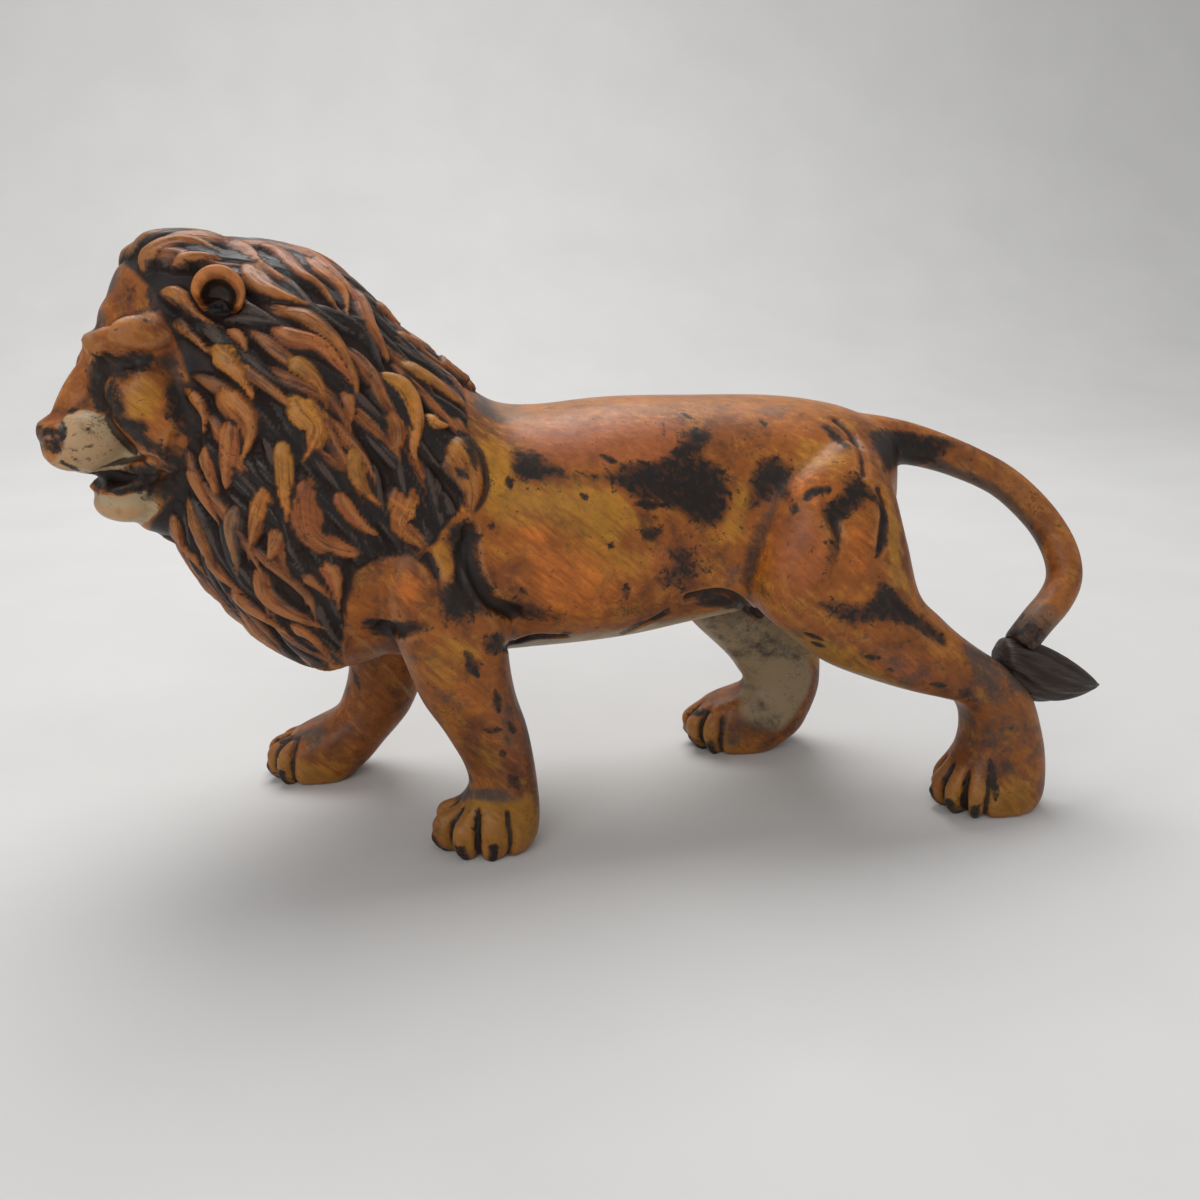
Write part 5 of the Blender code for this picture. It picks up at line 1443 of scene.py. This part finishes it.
def solidFrom(name, shape, material):
    # a closed cutter of flat triangles
    made = makeObject(name, shape, material)
    turnOut(made.data, triangles=True)
    made.hide_render = True
    return made


def cutCopy(source, name, cuts, cutter=False):
    # a copy of the source with each cut made in turn; the cut faces take the cutters' own clay
    made = placed(name, source.data.copy())
    made.hide_render = cutter
    for operation, other in cuts:
        change = made.modifiers.new("cut", "BOOLEAN")
        change.solver = "MANIFOLD"
        change.material_mode = "TRANSFER"
        change.operation = operation
        change.object = other
    return bakedMesh(made)


# how far the cutters stand off the forms they follow, and the heights that the legs are cut between
cutting = {"trunkOut": 3.0, "torsoIn": -3.6, "maneIn": -4.8, "legRoom": 2.6, "legFrom": -6.0,
           "boreWall": -3.4, "boreFrom": 14.0, "boreTo": 58.0, "tailRoom": 1.4, "tailFrom": 6,
           "half": 160.0, "side": 80.0, "nose": 90.0, "under": -10.0}


def halfBlock(sign):
    # one side of the parting, which is upright over the spine and follows the head's middle before the neck
    forward, _, neck = headAxes()
    nose, half, side = neck + forward * cutting["nose"], cutting["half"], cutting["side"] * sign
    base = np.array([nose, neck, (half, 0, 0), (half, side, 0), (-half, side, 0), (-half, nose[1], 0)])
    count = len(base)
    points = np.concatenate([base + (0, 0, cutting["under"]), base + (0, 0, half)])
    faces = [[i, (i + 1) % count, count + (i + 1) % count, count + i] for i in range(count)]
    return points, faces + [list(range(count))[::-1], list(range(count, 2 * count))]


def markSharp(mesh):
    # an edge between the painted outside and a cut face stays crisp
    faceOf = np.repeat(readArray(mesh.polygons, "material_index", kind=np.int32),
                       readArray(mesh.polygons, "loop_total", kind=np.int32))
    edgeOf = readArray(mesh.loops, "edge_index", kind=np.int32)
    low, high = np.full(len(mesh.edges), 99), np.full(len(mesh.edges), -1)
    np.minimum.at(low, edgeOf, faceOf)
    np.maximum.at(high, edgeOf, faceOf)
    sharp = mesh.attributes.get("sharp_edge") or mesh.attributes.new("sharp_edge", "BOOLEAN", "EDGE")
    sharp.data.foreach_set("value", low != high)
    return faceOf


def finishPiece(piece, node, source=None):
    mesh = piece.data
    makeSmooth(mesh)
    if source:
        mendCut(mesh, *source)
        cut = markSharp(mesh) != 0
        # the painted outside keeps the whole clay's shading, so that joins between pieces don't show
        normals = unit(readLayer(mesh, "clayNormal"))[readArray(mesh.loops, "vertex_index", kind=np.int32)]
        normals[cut] = 0.0
        mesh.normals_split_custom_set(normals.tolist())
    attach(piece, "root")
    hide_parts(node)
    print(piece.name, len(mesh.polygons), "faces")


def makePieces(whole, source, paint, biscuit):
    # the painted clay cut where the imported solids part, and hollowed like them
    whole.data.materials.append(paint)
    whole.data.materials.append(biscuit)
    whole.hide_render = True

    def cutter(name, grid):
        return solidFrom(name, gridMesh(grid), biscuit)

    torsoOut = cutter("torsoOut", torsoGrid(cutting["trunkOut"]))
    outside = [("DIFFERENCE", torsoOut), ("DIFFERENCE", cutter("maneOut", maneGrid(cutting["trunkOut"])))]
    inner = [("DIFFERENCE", cutter("torsoIn", torsoGrid(cutting["torsoIn"]))),
             ("DIFFERENCE", cutter("maneIn", maneGrid(cutting["maneIn"])))]
    trunk = []
    legSpan = (cutting["legFrom"], lion["legJoint"], cutting["legRoom"])
    boreSpan = (cutting["boreFrom"], cutting["boreTo"], cutting["boreWall"])
    for name, limb in limbs.items():
        block = cutter(name + "Block", limbGrid(limb, *legSpan))
        bore = cutter(name + "Bore", limbGrid(limb, *boreSpan))
        legCut = cutCopy(block, name + "Cut", outside, cutter=True)
        leg = cutCopy(whole, name, [("INTERSECT", legCut), ("DIFFERENCE", bore)])
        finishPiece(leg, limb["node"], source)
        trunk.append(("DIFFERENCE", legCut))
        inner.append(("DIFFERENCE", bore))
    line, radius = [rows[cutting["tailFrom"]:] for rows in tailLine()]
    tube = cutter("tailTube", tubeGrid(line, radius + cutting["tailRoom"], 32))
    tailCut = cutCopy(tube, "tailCut", outside[:1], cutter=True)
    finishPiece(cutCopy(whole, "tailRod", [("INTERSECT", tailCut)]), "tail", source)
    trunk.append(("DIFFERENCE", tailCut))
    shells = ((-1, "bodyLeftShell", "body_left_shell"), (1, "bodyRightShell", "body_right_shell"))
    for sign, name, node in shells:
        half = solidFrom(name + "Block", halfBlock(sign), biscuit)
        shell = cutCopy(whole, name, [*trunk, ("INTERSECT", half), *inner])
        finishPiece(shell, node, source)
    for thing in list(bpy.context.scene.objects):
        if thing.hide_render and thing.type == "MESH" and thing.name not in frame["nodes"]:
            bpy.data.objects.remove(thing)


def addNode(tree, kind, values=None, out=0):
    # a socket as a value is linked in, other values fill an input or set the node; one output comes back
    made = tree.nodes.new("ShaderNode" + kind)
    for name, value in (values or {}).items():
        if isinstance(value, bpy.types.NodeSocket):
            tree.links.new(value, made.inputs[name])
        elif isinstance(name, int) or name in made.inputs:
            made.inputs[name].default_value = value
        else:
            setattr(made, name, value)
    return made.outputs[out] if made.outputs else made


def emptyMaterial(name):
    material = bpy.data.materials.new(name)
    material.use_nodes = True
    material.node_tree.nodes.clear()
    return material, material.node_tree


def makePottery():
    # satin cold paint rubbed over fired clay: orange and ochre with umber left in the hollows
    material, tree = emptyMaterial("coldPaintedPottery")
    colourOf = {name: (*hexToLinear(code), 1) for name, code in paints.items()}
    place = addNode(tree, "TexCoord", out="Object")
    lean = math.radians(strokes["lean"])
    leant = addNode(tree, "VectorRotate", {"rotation_type": "Y_AXIS", "Angle": lean, 0: place})
    wide, thin = strokes["along"] * millimetre, strokes["across"] * millimetre
    drawn = addNode(tree, "Mapping", {"Scale": (1 / wide, 1 / thin, 1 / thin), 0: leant})
    fromMesh = {"attribute_type": "GEOMETRY"}
    flow = addNode(tree, "Attribute", {"attribute_name": "hairFlow"} | fromMesh, "Vector")
    thread = (1 / strokes["strandAcross"], 1 / strokes["strandAlong"], 1.0)
    combed = addNode(tree, "Mapping", {"Scale": thread, 0: flow})
    # what masks and breaks up the paint: noise of real sizes, and the layers laid on the clay
    field = {}
    ways = {"stroke": drawn, "strand": combed}
    for name, (size, detail, roughness) in grains.items():
        values = {"Scale": 1 / (size * millimetre), "Detail": detail, "Roughness": roughness}
        field[name] = addNode(tree, "TexNoise", values | {"Vector": ways.get(name, place)})
    for name, kinds in layerParts.items():
        source = addNode(tree, "Attribute", {"attribute_name": name} | fromMesh)
        field |= zip(kinds, addNode(tree, "SeparateColor", {"Color": source}).node.outputs)

    def broken(mask, pattern, amount, low, high):
        # a mask whose edge the pattern breaks up
        shifted = addNode(tree, "Math", {"operation": "MULTIPLY_ADD", 0: field[pattern], 1: amount,
                                         2: field[mask]})
        return addNode(tree, "MapRange", {"interpolation_type": "SMOOTHSTEP", "From Min": low + amount / 2,
                                          "From Max": high + amount / 2, "Value": shifted})

    def laid(under, name, mask, share):
        strength = addNode(tree, "Math", {"operation": "MULTIPLY", 0: mask, 1: share})
        return addNode(tree, "Mix", {"data_type": "RGBA", 0: strength, 6: under, 7: colourOf[name]}, 2)

    def coated(under, rows):
        for name, share, *edge in rows:
            under = laid(under, name, broken(*edge), share)
        return under

    def ranged(mask, ends):
        low, high, darkest, lightest = ends
        return addNode(tree, "MapRange", {"From Min": low, "From Max": high, "To Min": darkest,
                                          "To Max": lightest, "Value": field[mask]})

    streaky = addNode(tree, "Math", {"operation": "MULTIPLY", 0: field["stroke"], 1: 0.4})
    wearAndSheen = {"operation": "MULTIPLY_ADD", 0: field["mottle"], 1: 0.6, 2: streaky}
    field["wearAndSheen"] = addNode(tree, "Math", wearAndSheen)
    colour = addNode(tree, "Mix", {"data_type": "RGBA", 0: broken("broad", "wearAndSheen", 1.6, 0.35, 0.75),
                                   6: colourOf["ember"], 7: colourOf["emberDeep"]}, 2)
    colour = coated(colour, coats["ground"])
    golden = broken("patch", "mottle", 1.5, 0.45, 0.75)
    golden = addNode(tree, "Math", {"operation": "MULTIPLY", 0: field["ochre"], 1: golden})
    golden = addNode(tree, "Math", {"operation": "MULTIPLY_ADD", "use_clamp": True, 0: field["hairy"],
                                    1: -0.8, 2: golden})
    colour = laid(colour, "gold", golden, 0.60)
    # brushwork: every stroke a little lighter or darker than the next
    for mask, ends in (("stroke", (0.36, 0.64, 0.72, 1.16)), ("patch", (0.36, 0.64, 0.84, 1.10))):
        colour = addNode(tree, "Mix", {"data_type": "RGBA", "blend_type": "MULTIPLY", 0: 1.0, 6: colour,
                                       7: ranged(mask, ends)}, 2)
    # cream, then smoke with its painted shade and crest with its painted highlight
    colour = coated(colour, coats["wearShadeAndSheen"])
    colour = addNode(tree, "Mix", {"data_type": "RGBA", "blend_type": "MULTIPLY", 0: 1.0, 6: colour,
                                   7: ranged("tone", (0.0, 1.0, 0.72, 1.15))}, 2)
    field["halo"] = addNode(tree, "Math", {"operation": "MULTIPLY", 0: field["dark"], 1: 1.2})
    colour = coated(colour, coats["dirt"])
    # umber stays between the locks, and in threads along them
    # the black between the locks turns grey-brown on raised strands: painted strands with a painted sheen
    shade = addNode(tree, "Mix", {"data_type": "RGBA", 0: broken("crest", "strand", 1.6, 0.30, 0.80),
                                  6: colourOf["black"], 7: colourOf["hairShade"]}, 2)
    streak = broken("strand", "brush", 0.4, 0.50, 0.72)
    streak = addNode(tree, "Math", {"operation": "MULTIPLY", 0: field["hairy"], 1: streak})
    colour = laid(colour, "umber", streak, 0.45)
    between = broken("ground", "strand", 0.8, 0.12, 0.80)
    colour = addNode(tree, "Mix", {"data_type": "RGBA", 0: between, 6: colour, 7: shade}, 2)
    colour = coated(colour, coats["dark"])
    # hollows are rougher, and what the brush left stands up a little
    rough = ranged("brush", (0.3, 0.7, 0.34, 0.50))
    rough = addNode(tree, "Math", {"operation": "MULTIPLY_ADD", 0: field["cavity"], 1: 0.14, 2: rough})
    combing = {"operation": "MULTIPLY", 0: field["strand"], 1: field["hairy"]}
    field["combing"] = addNode(tree, "Math", combing)
    bump = None
    for name, strength, tall in (("speck", 0.35, 0.12), ("combing", 0.55, 0.25), ("fine", 0.25, 0.05)):
        values = {"Strength": strength, "Distance": tall * millimetre, "Height": field[name]}
        bump = addNode(tree, "Bump", values | ({"Normal": bump} if bump else {}))
    shader = addNode(tree, "BsdfPrincipled", {"IOR": 1.5, "Specular IOR Level": 0.31, "Base Color": colour,
                                              "Roughness": rough, "Normal": bump})
    addNode(tree, "OutputMaterial", {"Surface": shader})
    return material


def makePlain(name, code, roughness, size):
    # matt surfaces with faint mottling of a real size in millimetres
    material, tree = emptyMaterial(name)
    place = addNode(tree, "TexCoord", out="Object")
    noise = addNode(tree, "TexNoise", {"Scale": 1 / (size * millimetre), "Detail": 3.0, "Vector": place})
    darker, lighter = [(*[min(c * share, 1) for c in hexToLinear(code)], 1) for share in (0.93, 1.05)]
    mixed = addNode(tree, "Mix", {"data_type": "RGBA", 0: noise, 6: darker, 7: lighter}, 2)
    shader = addNode(tree, "BsdfPrincipled", {"Roughness": roughness, "Base Color": mixed})
    addNode(tree, "OutputMaterial", {"Surface": shader})
    return material


def makeStage():
    # card that runs level under the figure and sweeps up behind it
    stage = {"front": -1500.0, "flat": 520.0, "bend": 420.0, "top": 1700.0, "half": 2200.0}
    turn = np.linspace(0, math.pi / 2, 24)
    rear = stage["flat"] + stage["bend"]
    y = np.concatenate([[stage["front"], 0.0], stage["flat"] + stage["bend"] * np.sin(turn), [rear]])
    z = np.concatenate([[0.0, 0.0], stage["bend"] * (1 - np.cos(turn)), [stage["top"]]])
    x = np.array([-1.0, 0.0, 1.0]) * stage["half"]
    grid = np.stack(np.broadcast_arrays(x, y[:, None], z[:, None]), axis=2)
    index = np.arange(grid[..., 0].size).reshape(-1, 3)
    faces = np.stack([index[:-1, :-1], index[:-1, 1:], index[1:, 1:], index[1:, :-1]], axis=2)
    card = makePlain("matPaleCard", "#CFCECC", 0.75, 60.0)
    floor = makeObject("floor", (grid.reshape(-1, 3), faces.reshape(-1, 4).tolist()), card)
    makeSmooth(floor.data)


def makeLights():
    # a broad soft lamp above and behind, a weaker one from the front left, and a pale room
    lamps = {"overhead": {"place": (-60, 380, 900), "size": 700.0, "power": 7.6, "gloss": 0.45},
             "front": {"place": (-450, -900, 650), "size": 800.0, "power": 3.7, "gloss": 0.3}}
    aim = Vector((0, 0, 60)) * millimetre
    for name, lamp in lamps.items():
        data = bpy.data.lights.new(name, "AREA")
        data.size = lamp["size"] * millimetre
        data.energy = lamp["power"]
        data.specular_factor = lamp["gloss"]
        made = placed(name, data)
        made.location = Vector(lamp["place"]) * millimetre
        made.rotation_euler = (aim - made.location).to_track_quat("-Z", "Y").to_euler()
    world = bpy.data.worlds.new("softRoom")
    bpy.context.scene.world = world
    world.use_nodes = True
    room = world.node_tree.nodes["Background"].inputs
    room["Color"].default_value = (*hexToLinear("#F2F3F5"), 1)
    room["Strength"].default_value = 0.50


makeCamera()
makeStage()
makeLights()
whole = buildClay()
source = paintClay(whole, *shapeClay(whole))
paint, biscuit = makePottery(), makePlain("unglazedBiscuit", "#C9B8A2", 0.85, 4.0)
makePieces(whole, source, paint, biscuit)
makeEar("earLeft", -1, "ear_left", paint)
makeEar("earRight", 1, "ear_right", paint)
makeTuft(paint)

bpy.context.scene.view_settings.view_transform = "Standard"
